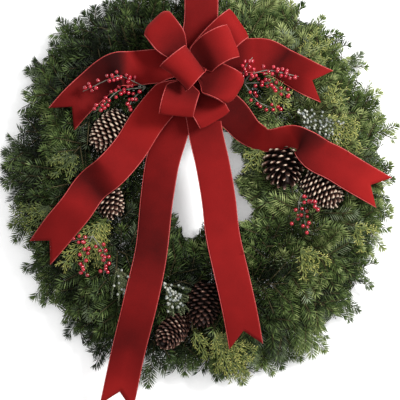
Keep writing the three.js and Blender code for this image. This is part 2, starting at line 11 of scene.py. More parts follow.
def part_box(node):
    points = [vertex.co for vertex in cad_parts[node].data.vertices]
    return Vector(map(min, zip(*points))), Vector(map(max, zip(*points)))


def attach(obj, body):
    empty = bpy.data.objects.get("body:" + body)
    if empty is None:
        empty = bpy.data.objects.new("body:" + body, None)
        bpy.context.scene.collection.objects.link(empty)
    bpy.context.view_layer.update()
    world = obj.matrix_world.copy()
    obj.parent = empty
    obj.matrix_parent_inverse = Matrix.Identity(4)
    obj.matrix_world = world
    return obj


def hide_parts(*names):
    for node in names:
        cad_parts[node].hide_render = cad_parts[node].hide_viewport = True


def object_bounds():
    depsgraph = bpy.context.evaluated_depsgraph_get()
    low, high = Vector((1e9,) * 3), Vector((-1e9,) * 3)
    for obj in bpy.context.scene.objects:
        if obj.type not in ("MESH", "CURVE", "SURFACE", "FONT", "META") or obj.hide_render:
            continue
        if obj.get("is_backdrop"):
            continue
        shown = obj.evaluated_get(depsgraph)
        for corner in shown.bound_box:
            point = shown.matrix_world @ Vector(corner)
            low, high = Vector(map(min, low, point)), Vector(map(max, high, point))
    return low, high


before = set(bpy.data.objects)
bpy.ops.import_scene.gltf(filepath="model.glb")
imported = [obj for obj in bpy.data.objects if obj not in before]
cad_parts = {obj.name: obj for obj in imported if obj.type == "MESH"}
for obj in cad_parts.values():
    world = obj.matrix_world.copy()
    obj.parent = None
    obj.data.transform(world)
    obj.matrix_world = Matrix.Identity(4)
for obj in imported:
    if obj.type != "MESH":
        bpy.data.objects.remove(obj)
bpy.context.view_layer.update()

# Wire ring. On the real wreath it is a bought clamp ring: two hoops of enamelled steel wire,
# joined by short cross wires whose ends are bent up over the stems of one bunch each.
# It lies lowest, and everything else is clamped, wired or pushed onto it.
MM = 0.001
UP = np.array([0.0, 0.0, 1.0])
CLEARANCE = 0.35
INNER_HOOP_RADIUS = 165
OUTER_HOOP_RADIUS = 190
HOOP_WIRE = 4
BUNCHES = 12
BUNCH_ANGLE = 360 / BUNCHES
STEMS_RADIUS = 10
STEMS_CIRCLE = (INNER_HOOP_RADIUS + OUTER_HOOP_RADIUS) / 2
STEMS_HEIGHT = HOOP_WIRE + CLEARANCE + STEMS_RADIUS
CLAMP_WIRE = 2.6
CLAMP_ANGLE = 8
CLAMP_BEND_RADIUS = 12.9

# Where a clamp's wire runs: degrees round the stems from its end down to its foot, then how far
# out from the stems' middle the foot's points lie, in bend radii, and how far up
CLAMP_BEND = [68, 50, 32, 14, -4, -20, -38]
CLAMP_FOOT = [[0.62, 0.4], [0.4, 0], [-0.4, 0], [-0.62, 0.4]]

ring_low, ring_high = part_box("wire_ring")
RING_MIDDLE = np.array([(ring_low.x + ring_high.x) / 2, (ring_low.y + ring_high.y) / 2, 0.0])


def in_frame(points):
    """Places in millimetres from the ring's middle, as places in the frame in metres."""
    return np.asarray(points, float) * MM + RING_MIDDLE


def unit(vectors):
    vectors = np.asarray(vectors, float)
    return vectors / np.maximum(np.linalg.norm(vectors, axis=-1, keepdims=True), 1e-9)


def polar(radius, degrees, height):
    turn = math.radians(degrees)
    return np.array([radius * math.cos(turn), radius * math.sin(turn), height])


def bunch_start(bunch):
    """Degrees round the ring at which a bunch's stems start; the first starts at the top."""
    return 90 + bunch * BUNCH_ANGLE


def sides_of(way):
    """The level direction across a way, and the one square to both."""
    side = unit(np.cross(way, UP))
    return side, np.cross(side, way)


def travel_along(points):
    """Direction of travel at each point of a path."""
    ends = np.vstack([points[:1], points, points[-1:]])
    return unit(ends[2:] - ends[:-2])


def tube(points, radii, sides, flat=1.0):
    """Points and faces of a closed tube; flat squeezes its section towards a blade."""
    points = np.asarray(points, float)
    over = UP
    corners = []
    for place, way, radius in zip(points, travel_along(points), radii):
        if abs(over @ way) > 0.95:
            over = np.array([1.0, 0.0, 0.0])
        over = unit(over - way * (over @ way))
        side = np.cross(over, way)
        for k in range(sides):
            turn = 2 * math.pi * (k + 0.5) / sides
            corners.append(place + side * radius * math.cos(turn)
                           + over * radius * flat * math.sin(turn))
    last = (len(points) - 1) * sides
    faces = [(ring + k, ring + (k + 1) % sides, ring + sides + (k + 1) % sides, ring + sides + k)
             for ring in range(0, last, sides) for k in range(sides)]
    faces.append(tuple(range(sides - 1, -1, -1)))
    faces.append(tuple(range(last, last + sides)))
    return np.array(corners), faces


def new_piece(name, points, faces, finishes):
    """A piece whose object sits at the frame's origin, with its place in its mesh."""
    mesh = bpy.data.meshes.new(name)
    mesh.from_pydata(in_frame(points).tolist(), [], faces)
    for finish in finishes:
        mesh.materials.append(finish)
    mesh.update()
    piece = bpy.data.objects.new(name, mesh)
    bpy.context.scene.collection.objects.link(piece)
    return piece


def mark_points(piece, name, values):
    """Gives each point of a piece a value for its finish to read."""
    values = np.asarray(values, np.float32)
    piece.data.attributes.new(name, "FLOAT", "POINT").data.foreach_set("value", values)


class Heap:
    """Gathers shapes of one piece, with a finish for each face and one tone for each point."""

    def __init__(self):
        self.points = []
        self.faces = []
        self.finishes = []
        self.tones = []
        self.count = 0

    def add(self, points, faces, finish=0, tones=0.5):
        points = np.asarray(points, float)
        self.points.append(points)
        self.faces.extend(tuple(corner + self.count for corner in face) for face in faces)
        self.finishes.extend([finish] * len(faces))
        self.tones.append(np.broadcast_to(np.asarray(tones, float), (len(points),)))
        self.count += len(points)

    def add_many(self, points, faces, finishes, tones):
        """Many copies at once: points (n, p, 3), faces of one copy (f, 3), finishes (f,)."""
        copies, each = points.shape[:2]
        shifts = self.count + np.arange(copies)[:, None, None] * each
        self.points.append(points.reshape(-1, 3))
        self.faces.extend(map(tuple, (np.asarray(faces)[None] + shifts).reshape(-1, 3).tolist()))
        self.finishes.extend(np.tile(finishes, copies).tolist())
        self.tones.append(np.asarray(tones, float).reshape(-1))
        self.count += copies * each

    def piece(self, name, finishes, smooth=False):
        piece = new_piece(name, np.vstack(self.points), self.faces, finishes)
        polygons = piece.data.polygons
        polygons.foreach_set("material_index", np.array(self.finishes, np.int32))
        polygons.foreach_set("use_smooth", np.full(len(self.faces), smooth))
        mark_points(piece, "tone", np.concatenate(self.tones))
        piece.data.update()
        return piece


def select_only(*pieces):
    """Selects these pieces and makes the first of them active."""
    bpy.ops.object.select_all(action="DESELECT")
    for piece in pieces:
        piece.select_set(True)
    bpy.context.view_layer.objects.active = pieces[0]


def dress(piece, node):
    """Lays a finished piece on the wreath in place of one of its nodes."""
    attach(piece, "root")
    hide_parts(node)


def new_finish(name, base, roughness, **sockets):
    """A material with its plain values on its shader's own sockets."""
    finish = bpy.data.materials.new(name)
    finish.use_nodes = True
    shader = finish.node_tree.nodes["Principled BSDF"]
    shader.inputs["Base Color"].default_value = (*base, 1)
    shader.inputs["Roughness"].default_value = roughness
    for socket, value in sockets.items():
        shader.inputs[socket.replace("_", " ")].default_value = value
    return finish


def colour_ramp(finish, factor, stops):
    """Sends a factor through a colour ramp to the base colour."""
    nodes, links = finish.node_tree.nodes, finish.node_tree.links
    ramp = nodes.new("ShaderNodeValToRGB")
    while len(ramp.color_ramp.elements) < len(stops):
        ramp.color_ramp.elements.new(0.5)
    for element, (place, colour) in zip(ramp.color_ramp.elements, stops):
        element.position = place
        element.color = (*colour, 1)
    links.new(factor, ramp.inputs["Fac"])
    links.new(ramp.outputs["Color"], nodes["Principled BSDF"].inputs["Base Color"])
    return ramp


def noise(finish, scale, detail=3.0):
    """Noise on Object coordinates, its scale in grains for each metre."""
    nodes, links = finish.node_tree.nodes, finish.node_tree.links
    grain = nodes.new("ShaderNodeTexNoise")
    grain.inputs["Scale"].default_value = scale
    grain.inputs["Detail"].default_value = detail
    links.new(nodes.new("ShaderNodeTexCoord").outputs["Object"], grain.inputs["Vector"])
    return grain.outputs["Fac"]


def bump(finish, height, strength, depth):
    nodes, links = finish.node_tree.nodes, finish.node_tree.links
    relief = nodes.new("ShaderNodeBump")
    relief.inputs["Strength"].default_value = strength
    relief.inputs["Distance"].default_value = depth
    links.new(height, relief.inputs["Height"])
    links.new(relief.outputs["Normal"], nodes["Principled BSDF"].inputs["Normal"])


def attribute(finish, name):
    reader = finish.node_tree.nodes.new("ShaderNodeAttribute")
    reader.attribute_name = name
    return reader.outputs["Fac"]


def blend_of(finish, first, second, share):
    """A factor that holds some of a second factor."""
    mixer = finish.node_tree.nodes.new("ShaderNodeMix")
    mixer.inputs["Factor"].default_value = share
    finish.node_tree.links.new(first, mixer.inputs["A"])
    finish.node_tree.links.new(second, mixer.inputs["B"])
    return mixer.outputs["Result"]


wire_enamel = new_finish("dark green wire enamel", (0.010, 0.026, 0.014), 0.38, Metallic=0.35)
colour_ramp(wire_enamel, noise(wire_enamel, 900), [
    (0.30, (0.008, 0.022, 0.011)), (0.62, (0.016, 0.040, 0.020)), (0.80, (0.045, 0.032, 0.018))])
bump(wire_enamel, noise(wire_enamel, 2200), 0.25, 0.0002)

bpy.ops.object.select_all(action="DESELECT")
hoops = []
for radius in (INNER_HOOP_RADIUS, OUTER_HOOP_RADIUS):
    bpy.ops.mesh.primitive_torus_add(
        location=in_frame([0, 0, HOOP_WIRE / 2]), major_radius=radius * MM,
        minor_radius=HOOP_WIRE / 2 * MM, major_segments=120, minor_segments=10)
    hoops.append(bpy.context.object)
select_only(*hoops)
bpy.ops.object.join()
bpy.ops.object.transform_apply(location=True, rotation=True, scale=True)
bpy.ops.object.shade_smooth()
hoops = bpy.context.object
hoops.name = "ring_hoops"
hoops.data.materials.clear()
hoops.data.materials.append(wire_enamel)
dress(hoops, "wire_ring")


def clamp_path(angle):
    """One clamp's wire: from over the stems down under the hoops and up over the stems again."""
    bends = [polar(STEMS_CIRCLE + CLAMP_BEND_RADIUS * math.cos(math.radians(turn)), angle,
                   STEMS_HEIGHT + CLAMP_BEND_RADIUS * math.sin(math.radians(turn)))
             for turn in CLAMP_BEND + [180 - turn for turn in reversed(CLAMP_BEND)]]
    foot = [polar(STEMS_CIRCLE + CLAMP_BEND_RADIUS * out, angle, HOOP_WIRE - CLAMP_WIRE / 2 + up)
            for out, up in CLAMP_FOOT]
    return bends[:len(CLAMP_BEND)] + foot + bends[len(CLAMP_BEND):]


clamps = Heap()
for bunch in range(BUNCHES):
    path = clamp_path(bunch_start(bunch) + CLAMP_ANGLE)
    clamps.add(*tube(path, [CLAMP_WIRE / 2] * len(path), 8))
dress(clamps.piece("ring_clamps", [wire_enamel], smooth=True), "wire_ring")


# Fir bunches. Each is a handful of cut fir twigs, their stems laid along the ring under one
# clamp and their shoots fanned outwards, over the front and into the hole. Living needles are
# flat and blunt, dark green above and pale below, on thin brown twigs.
STEMS = 7
STEM_RADIUS = 2.9
STEM_PITCH = 5.6
STEM_GAP_ANGLE = 0.5
STEM_TAPER = 0.25
NEEDLE_LENGTH = 16.5
NEEDLE_WIDTH = 1.8
NEEDLE_THICKNESS = 0.6
NEEDLED_LENGTH = 62
COMBED_NEEDLES_PER_MM = 0.64
BRUSHY_NEEDLES_PER_MM = 1.5
RIM_NEEDLES_PER_MM = 2.4
RIM_NEEDLE_WIDTH = 1.3
RIM_NEEDLED_LENGTH = NEEDLED_LENGTH * 0.72
LEAST_NEEDLES = 12
SHADE = 0.5
SHADE_DEPTH = 22
GOLDEN_ANGLE = 137.5
PALE_SHARE = 0.09
TIP_SPARE = 3
COVER_CLEARANCE = 11
LOWEST_TIP = 1.6
LOWEST_ROOT = 1.2
LOOK_UP = 200
LOOK_DOWN = 60
LOBE_SWEEP = 4
STEMS_INSET = 0.8

# The foliage's own form: radius of its outline and of its hole at degrees round the ring, and
# the height of its front at a radius
OUTLINE = [[0, 290], [15, 300], [30, 294], [45, 302], [60, 306], [75, 300], [90, 298], [105, 300],
           [120, 298], [135, 316], [150, 304], [165, 290], [180, 297], [195, 294], [210, 290],
           [225, 306], [240, 306], [255, 298], [270, 300], [285, 312], [300, 314], [315, 306],
           [330, 300], [345, 296], [360, 290]]
HOLE_EDGE = [[0, 49], [9, 50], [12, 62], [26, 68], [38, 60], [46, 62], [54, 78], [90, 78],
             [135, 78], [180, 72], [222, 68], [232, 63], [240, 61], [247, 72], [254, 90],
             [261, 91], [267, 82], [271, 62], [278, 66], [304, 80], [314, 88], [326, 96],
             [331, 80], [336, 62], [342, 56], [350, 50], [360, 49]]
FRONT_PROFILE = [[0, 40], [85, 44], [110, 62], [180, 80], [260, 56], [300, 38], [400, 30]]

# How the needles change along a shoot: their lean in degrees and their share of full length
NEEDLE_LEAN = [[0, 60], [0.7, 55], [0.88, 40], [1, 6]]
NEEDLE_SHARE = [[0, 0.8], [0.25, 1], [0.8, 0.95], [1, 0.7]]

# How much of the shade inside the foliage reaches the needles at a radius
SHADE_SHARE = [[270, 1], [292, 0.35]]

# Side shoots of a spray: share of the spray at which each leaves, and its length
SIDE_SHOOTS = [[0.32, 48], [0.44, 50], [0.56, 44], [0.68, 38], [0.80, 28]]

# Each spray: how far along the bunch it leaves, how far it sweeps round in degrees, what it
# ends by and at what share, radius or distance from it, how high it ends and how it arches
SPRAYS = [
    (0.08, 4, "outline", 1.0, 0.3, 0.12), (0.34, 4, "outline", 1.0, 0.85, 0.12),
    (0.6, 4, "outline", 1.0, 0.3, 0.12), (0.86, 4, "outline", 1.0, 0.85, 0.12),
    (0.2, 6, "outline", 0.93, 0.6, 0.2), (0.47, 1, "outline", 0.95, 0.45, 0.2),
    (0.73, 6, "outline", 0.92, 0.6, 0.2), (0.98, 1, "outline", 0.95, 0.4, 0.2),
    (0.12, 9, "outline", 0.88, 0.9, 0.38), (0.4, 5, "outline", 0.84, 0.74, 0.3),
    (0.66, 10, "outline", 0.89, 0.9, 0.38), (0.92, 6, "outline", 0.83, 0.74, 0.3),
    (0.28, 12, "outline", 0.74, 0.97, 0.45), (0.56, 8, "outline", 0.77, 0.76, 0.35),
    (0.84, 13, "outline", 0.73, 0.97, 0.45), (0.3, 3, "radius", 219, 0.95, 0.12),
    (0.78, 3, "radius", 171, 0.76, 0.12), (0.05, 19, "radius", 198, 0.97, 0.2),
    (0.52, 18, "radius", 182, 0.76, 0.2), (0.15, 14, "radius", 150, 0.97, 0.35),
    (0.62, 17, "radius", 156, 0.76, 0.25), (0.38, 8, "radius", 122, 0.95, 0.4),
    (0.9, 9, "radius", 126, 0.74, 0.3), (0.3, 2, "hole", 11, 0.75, 0.12),
    (0.8, 2, "hole", 11, 0.35, 0.12), (0.06, 7, "hole", 15, 0.5, 0.2),
    (0.54, 8, "hole", 18, 0.85, 0.25), (0.16, 5, "radius", 236, 0.34, 0.05),
    (0.66, 5, "radius", 214, 0.3, 0.05), (0.42, 9, "radius", 138, 0.4, 0.05),
]

# Painted light and shade on each bunch's twigs from the top leftwards round: shaded left, lit right
BUNCH_PAINTED_LIGHT = [-0.24, -0.25, -0.12, -0.12, -0.13, -0.17, -0.05, 0.05, 0.12, 0.16, 0.13, 0.06]

# Ends of the longer shoots that stick out of the round outline, and into the hole
LOBES = [
    [-117, 267], [-172, 246], [-211, 237], [-220, 201], [-258, 162], [-260, 129], [-291, 39],
    [-295, -3], [-261, -135], [-249, -177], [-198, -235], [-168, -246], [-157, -280],
    [-78, -310], [-22, -291], [27, -300], [64, -306], [108, -292], [150, -271], [187, -258],
    [237, -198], [255, -162], [282, -75], [286, -46], [282, 16], [294, 78], [268, 129],
    [241, 186], [211, 213], [183, 240], [153, 260], [93, 267], [120, 264], [137, 262],
    [207, 195], [-246, 176], [-293, 16], [-282, -70], [-234, -186], [-203, -214], [122, -284],
    [188, -238], [216, -208], [253, -138],
    [263, 112], [288, -2], [-95, 270], [-140, 262], [85, 270], [128, 269],
    [-33, -62], [-28, -78], [4, -66], [50, 46], [51, 4], [52, -12], [60, -24], [54, 36],
]

# Bays between the longer shoots, which no needle reaches into: middle and radius
BAYS = np.array([
    [161, 249, 12], [221, 190, 10], [249, 152, 10], [280, 43, 10], [284, -18, 8],
    [287, -64, 8], [261, -138, 11], [242, -170, 12], [208, -225, 15], [89, -304, 13],
    [-42, -304, 11], [-4, -306, 11], [-178, -277, 14], [-187, -251, 9], [-224, -209, 16],
    [-260, -162, 14], [-268, -114, 12], [-294, -48, 10], [-284, 75, 10], [-276, 110, 11],
    [-266, 144, 9], [-242, 190, 10], [-229, 223, 10],
])

# Where the foliage lies deep in shade or up in the light: middle, radius and how much
LIGHT_AND_SHADE = np.array([
    [-147, 201, 30, -0.34], [-174, 168, 20, -0.24], [-164, 35, 20, -0.3], [-201, -12, 24, -0.24],
    [-260, -31, 18, -0.24], [-213, -105, 24, -0.24], [-157, -157, 26, -0.22],
    [-201, -184, 20, -0.16], [-121, -105, 26, -0.28], [-86, -222, 24, -0.2],
    [-15, -130, 34, -0.2], [-15, -175, 24, -0.2], [100, -100, 22, -0.2], [72, 15, 20, -0.24],
    [98, -25, 18, -0.24], [108, -200, 24, -0.24], [60, 206, 20, -0.2], [92, 208, 18, -0.1],
    [150, -60, 18, -0.1], [125, 232, 40, 0.08], [231, 88, 36, 0.1], [175, -105, 44, 0.08],
    [160, -230, 40, 0.08], [-234, 84, 26, 0.1], [-215, 180, 22, 0.12], [-110, 160, 12, 0.2],
])


def chance(first, second, third):
    """A repeatable number from 0 to 1 for the given keys."""
    value = np.sin(first * 12.9898 + second * 78.233 + third * 37.719) * 43758.5453
    return value - np.floor(value)


def profile(table, place):
    """The value of a table of places and values at a place between them."""
    return np.interp(place, *zip(*table))


def front_height(radius):
    return profile(FRONT_PROFILE, radius)


def inside_hole(places, spare=0.0):
    around = np.degrees(np.arctan2(places[:, 1], places[:, 0])) % 360
    return np.hypot(places[:, 0], places[:, 1]) < profile(HOLE_EDGE, around) + spare


def inside_bay(places, spare=0.0):
    away = np.linalg.norm(places[:, None, :2] - BAYS[None, :, :2], axis=2)
    return (away < BAYS[:, 2] + spare).any(axis=1)


def tree_of(names):
    """A search tree of the named CAD nodes, for finding what foliage must stay clear of."""
    points, faces = [], []
    for name in names:
        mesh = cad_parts[name].data
        shift = len(points)
        points.extend(vertex.co.copy() for vertex in mesh.vertices)
        faces.extend([shift + corner for corner in face.vertices] for face in mesh.polygons)
    return BVHTree.FromPolygons(points, faces)


covers = tree_of([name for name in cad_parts
                  if name.startswith(("ribbon_", "bow_", "pine_cone_"))])


def cover_beyond(place, way, reach):
    """Distance in millimetres from a place to the next cover that way, or None past reach."""
    distance = covers.ray_cast(Vector(in_frame(place)), Vector(way).normalized(), reach * MM)[3]
    return None if distance is None else distance / MM


def first_cover(start, end, spare):
    """Distance in millimetres from start to a cover on the way to end, or None."""
    return cover_beyond(start, end - start, np.linalg.norm(end - start) + spare)


def under_covers(points, depth):
    """Lowers a path to run below the ribbons and cones that lie over it."""
    points = points.copy()
    for place in points:
        foot = [place[0], place[1], 10.0]
        above = cover_beyond(foot, UP, LOOK_UP)
        if above is not None:
            place[2] = min(place[2], foot[2] + above - depth)
    return points


def cut_at_covers(points, spare):
    """A path's part before it meets a cover, the hole or a bay."""
    in_a_gap = inside_hole(points, 4) | inside_bay(points, -4)
    for i in range(len(points) - 1):
        if in_a_gap[i + 1] or first_cover(points[i], points[i + 1], spare) is not None:
            return points[:i + 1]
    return points


def arched(root, tip, arch, steps):
    """Curved way from root to tip, its middle lifted by a share of its length."""
    t = np.linspace(0, 1, steps)[:, None]
    middle = (root + tip) / 2 + UP * arch * np.linalg.norm(tip - root)
    return (1 - t) ** 2 * root + 2 * t * (1 - t) * middle + t ** 2 * tip


def distances_along(path):
    """Distance from a path's start to each of its points."""
    return np.concatenate([[0], np.cumsum(np.linalg.norm(np.diff(path, axis=0), axis=1))])


def between(path, marks, wanted):
    """A path's places where its marks reach the wanted values."""
    return np.stack([np.interp(wanted, marks, column) for column in path.T], axis=-1)


def shoots_of(axis, keys):
    """The axis and the side shoots that leave it to left and right, nearly in one plane."""
    shoots = [axis]
    marks = distances_along(axis)
    travel = travel_along(axis)
    roll = math.radians(60 * (chance(*keys, 11) - 0.5))
    for number, (t, long) in enumerate(SIDE_SHOOTS):
        way = 1 if (number + round(chance(*keys, 10))) % 2 else -1
        place = between(axis, marks, t * marks[-1])
        along = unit(between(travel, marks, t * marks[-1]))
        side, over = sides_of(along)
        outward = way * (side * math.cos(roll) + over * math.sin(roll))
        lean = math.radians(38 + 16 * chance(*keys, 20 + number))
        heading = along * math.cos(lean) + outward * math.sin(lean)
        reach = long * (0.75 + 0.4 * chance(*keys, 40 + number))
        tip = place + heading * reach + along * reach * 0.12
        shoots.append(arched(place, tip, 0.05, 4))
    return shoots


# A needle: its root a point in the twig, two raised corners where it is widest, and its end
NEEDLE_FACES = np.array([(0, 2, 1), (3, 1, 2), (0, 1, 3), (0, 3, 2)])
NEEDLE_FINISHES = np.array([0, 0, 1, 1])
# Tones of a needle's corners: its root darkened with painted shade where it meets the twig, its end
# lighter
NEEDLE_SHADED_TONES = np.array([-0.24, 0.05, 0.05, 0.12])


def turns_of(order, keys, combed):
    """Degrees round the shoot for each needle: combed to its two sides, or all round it."""
    if not combed:
        return order * GOLDEN_ANGLE + 360 * chance(*keys, 3)
    loose = chance(order, keys[0] * 11 + keys[1], 15) - 0.5
    return np.where(order % 7 == 6, 90 + 100 * loose, 180 * (order % 2) + 24 * loose)


def shaded(tones, tips):
    """Tones darkened for needles deep in the foliage, and by the places of light and shade."""
    radius = np.hypot(tips[:, 0], tips[:, 1])
    depth = front_height(radius) - 6 - tips[:, 2]
    in_shade = np.clip(depth / SHADE_DEPTH, 0, 1) * profile(SHADE_SHARE, radius)
    tones = tones - SHADE * in_shade
    for x, y, reach, amount in LIGHT_AND_SHADE:
        tones += amount * np.exp(-((tips[:, 0] - x) ** 2 + (tips[:, 1] - y) ** 2) / reach ** 2)
    return tones


def needles_on(shoot, keys, pale_side_up, at_rim, tone):
    """Roots, tips, upward directions, tones and widths of the needles along one shoot."""
    combed = chance(*keys, 14) < (0.4 if at_rim else 0.75)
    per_mm = COMBED_NEEDLES_PER_MM if combed else BRUSHY_NEEDLES_PER_MM
    needled, width = NEEDLED_LENGTH, NEEDLE_WIDTH
    if at_rim:
        per_mm, needled, width = RIM_NEEDLES_PER_MM, RIM_NEEDLED_LENGTH, RIM_NEEDLE_WIDTH
    marks = distances_along(shoot)
    total = marks[-1]
    bare = max(total - needled, 0.04 * total)
    count = max(int((total - bare) * per_mm), LEAST_NEEDLES)
    order = np.arange(count)
    t = (order + 0.7) / (count + 0.2)
    places = np.minimum(bare + (total - bare) * t * 1.1, total)
    roots = between(shoot, marks, places)
    along = unit(between(travel_along(shoot), marks, places))
    side, over = sides_of(along)
    turn = np.radians(turns_of(order, keys, combed))
    rise = np.sin(turn)
    outward = unit(side * np.cos(turn)[:, None]
                   + over * (rise * np.where(rise > 0, 0.9, 0.4))[:, None])
    lean = np.radians(profile(NEEDLE_LEAN, t)
                      + 6 * (chance(order, keys[0] * 31 + keys[1], 5) - 0.5))
    heading = along * np.cos(lean)[:, None] + outward * np.sin(lean)[:, None]
    length = NEEDLE_LENGTH * profile(NEEDLE_SHARE, t)
    length = length * (0.86 + 0.2 * chance(order, keys[0] + keys[1] * 7, 6))
    tips = roots + heading * length[:, None]
    tilt = 0.6 * (chance(order, keys[0] * 3 + keys[1], 7) - 0.5)
    facing = (over + side * tilt[:, None] - 0.25 * along) * (-1.0 if pale_side_up else 1.0)
    tones = tone + 0.42 * (chance(order, keys[0] * 5 + keys[1], 8) - 0.5) + 0.16 * (t - 0.5)
    return roots, tips, facing, shaded(tones, tips), np.full(count, width)


def clear_tips(roots, tips):
    """Shortens or lowers needles that would reach into a cover; says which needles stay."""
    keep = roots[:, 2] > LOWEST_ROOT
    for i, (root, tip) in enumerate(zip(roots, tips)):
        distance = first_cover(root, tip, TIP_SPARE)
        if distance is not None:
            share = (distance - TIP_SPARE) / np.linalg.norm(tip - root)
            keep[i] &= share > 0.3
            tips[i] = root + (tip - root) * min(max(share, 0.01), 1)
        above = cover_beyond(tips[i], UP, COVER_CLEARANCE)
        if above is not None:
            tips[i, 2] -= COVER_CLEARANCE - above
        keep[i] &= cover_beyond(tips[i], -UP, LOOK_DOWN) is None
    tips[:, 2] = np.maximum(tips[:, 2], LOWEST_TIP)
    return keep & ~inside_hole(tips) & ~inside_bay(tips)


def needle_shapes(roots, tips, facing, widths=NEEDLE_WIDTH):
    """Corner points of many needles, each with its broad upper side towards its facing."""
    along = unit(tips - roots)
    side = unit(np.cross(along, facing))
    over = np.cross(side, along)
    widest = roots + (tips - roots) * 0.45 + over * NEEDLE_THICKNESS
    half = np.reshape(widths, (-1, 1)) / 2
    return np.stack([roots, widest - side * half, widest + side * half, tips], axis=1)


fir_top = new_finish("fir needle upper side", (0.03, 0.07, 0.02), 0.5, Specular_IOR_Level=0.12)
colour_ramp(fir_top, blend_of(fir_top, attribute(fir_top, "tone"), noise(fir_top, 45), 0.2), [
    (0.12, (0.003, 0.005, 0.002)), (0.38, (0.018, 0.032, 0.008)),
    (0.62, (0.062, 0.092, 0.024)), (0.88, (0.200, 0.230, 0.085))])
fir_under = new_finish("fir needle pale underside", (0.1, 0.14, 0.08), 0.6,
                       Specular_IOR_Level=0.12)
colour_ramp(fir_under, attribute(fir_under, "tone"), [
    (0.1, (0.010, 0.016, 0.007)), (0.5, (0.058, 0.078, 0.038)), (0.9, (0.160, 0.190, 0.120))])
fir_bark = new_finish("fir twig bark", (0.07, 0.045, 0.025), 0.85, Specular_IOR_Level=0.1)
colour_ramp(fir_bark, noise(fir_bark, 700), [
    (0.3, (0.018, 0.014, 0.006)), (0.7, (0.050, 0.040, 0.018))])
bump(fir_bark, noise(fir_bark, 1500), 0.4, 0.0004)


def add_stems(heap, start):
    """A bunch's stems, side by side in one bundle along its part of the ring."""
    for stem in range(STEMS):
        spin = math.radians(60 * stem)
        off = 0 if stem == STEMS - 1 else STEM_PITCH
        path, radii = [], []
        for t in np.linspace(0, 1, 6):
            shrink = 1 - STEM_TAPER * t
            around = start + STEM_GAP_ANGLE + (BUNCH_ANGLE - 2 * STEM_GAP_ANGLE) * t
            path.append(polar(STEMS_CIRCLE - STEMS_INSET + off * shrink * math.cos(spin), around,
                              STEMS_HEIGHT + off * shrink * math.sin(spin)))
            radii.append(STEM_RADIUS * shrink)
        heap.add(*tube(path, radii, 7), finish=2)


def lobe_sprays(start):
    """The sprays of one bunch that end at its lobes, as rows like those of SPRAYS."""
    found = []
    for x, y in LOBES:
        along = (math.degrees(math.atan2(y, x)) - LOBE_SWEEP - start) % 360 / BUNCH_ANGLE
        if along < 1:
            rise = 0.4 + 0.5 * chance(x, y, 4)
            found.append((along, LOBE_SWEEP, "lobe", math.hypot(x, y), rise, 0.1))
    return found


def spray_axis(spray, start, keys):
    """A spray's middle line from its stem, kept under the covers and out of the gaps."""
    along, sweep, ends_by, amount, rise, arch = spray
    drift = chance(*keys, 1) - 0.5
    angle = start + BUNCH_ANGLE * along
    turned = angle + sweep + (0 if ends_by == "lobe" else 5 * drift)
    if ends_by == "outline":
        outline = profile(OUTLINE, turned % 360)
        radius = (outline - 20) * amount + 12 * (chance(*keys, 2) - 0.6)
    elif ends_by == "lobe":
        radius = amount + (1 if amount > STEMS_CIRCLE else 5)
    elif ends_by == "hole":
        radius = profile(HOLE_EDGE, turned % 360) + amount + 5 * drift
    else:
        radius = amount + 12 * drift
    raised, sunk = {"outline": (4, 11), "lobe": (4, 11), "hole": (0, 9), "radius": (0, 12)}[ends_by]
    root = polar(STEMS_CIRCLE, angle, STEMS_HEIGHT + 2)
    tip = polar(radius, turned, raised + (front_height(radius) - sunk) * rise)
    return cut_at_covers(under_covers(arched(root, tip, arch, 7), 11), 5)


for bunch in range(BUNCHES):
    start = bunch_start(bunch)
    heap = Heap()
    add_stems(heap, start)
    found = []
    for order, spray in enumerate(SPRAYS + lobe_sprays(start)):
        axis = spray_axis(spray, start, (bunch, order))
        if len(axis) < 3:
            continue
        # Each spray's tone takes its bunch's painted light and shade
        tone = 0.30 + 0.38 * chance(bunch, order, 9) + BUNCH_PAINTED_LIGHT[bunch]
        for number, shoot in enumerate(shoots_of(axis, (bunch, order))):
            shoot = cut_at_covers(under_covers(shoot, 10), 4)
            if len(shoot) < 2:
                continue
            shoot[:, 2] = np.maximum(shoot[:, 2], 3)
            pale = chance(bunch * 9 + number, order, 12) < PALE_SHARE
            own_tone = tone + 0.3 * (chance(bunch + number * 3, order, 13) - 0.5)
            found.append(needles_on(shoot, (bunch * 40 + number, order), pale,
                                    spray[2] == "lobe", own_tone))
            thick = 1.7 if number == 0 else 1.1
            heap.add(*tube(shoot, np.linspace(thick, 0.7, len(shoot)), 4), finish=2)
    roots, tips, facing, tones, widths = (np.concatenate(column) for column in zip(*found))
    keep = clear_tips(roots, tips)
    shapes = needle_shapes(roots[keep], tips[keep], facing[keep], widths[keep])
    # Each needle's tones carry painted shade at its root
    heap.add_many(shapes, NEEDLE_FACES, NEEDLE_FINISHES, tones[keep][:, None] + NEEDLE_SHADED_TONES)
    name = f"fir_bunch_{bunch + 1:02d}"
    dress(heap.piece(name + "_needles", [fir_top, fir_under, fir_bark]), name)


# Cedar sprays. Flat fans of branchlets covered in tiny overlapping scales, yellow-green and
# lighter at their tips. Each real spray's stalk is pushed down between the fir stems.
FAN_WIDTH = 62
SCALE_PITCH = 3.0
SCALE_SWELL = [0.72, 1.12]
BRANCH_PITCH = 4.8
TWIG_PITCH = 3.4
TWIG_LENGTH = 7.5
STALK_RADII = [1.4, 1.3, 1.2, 1.1]
SEAT_ABOVE_STEMS = 8

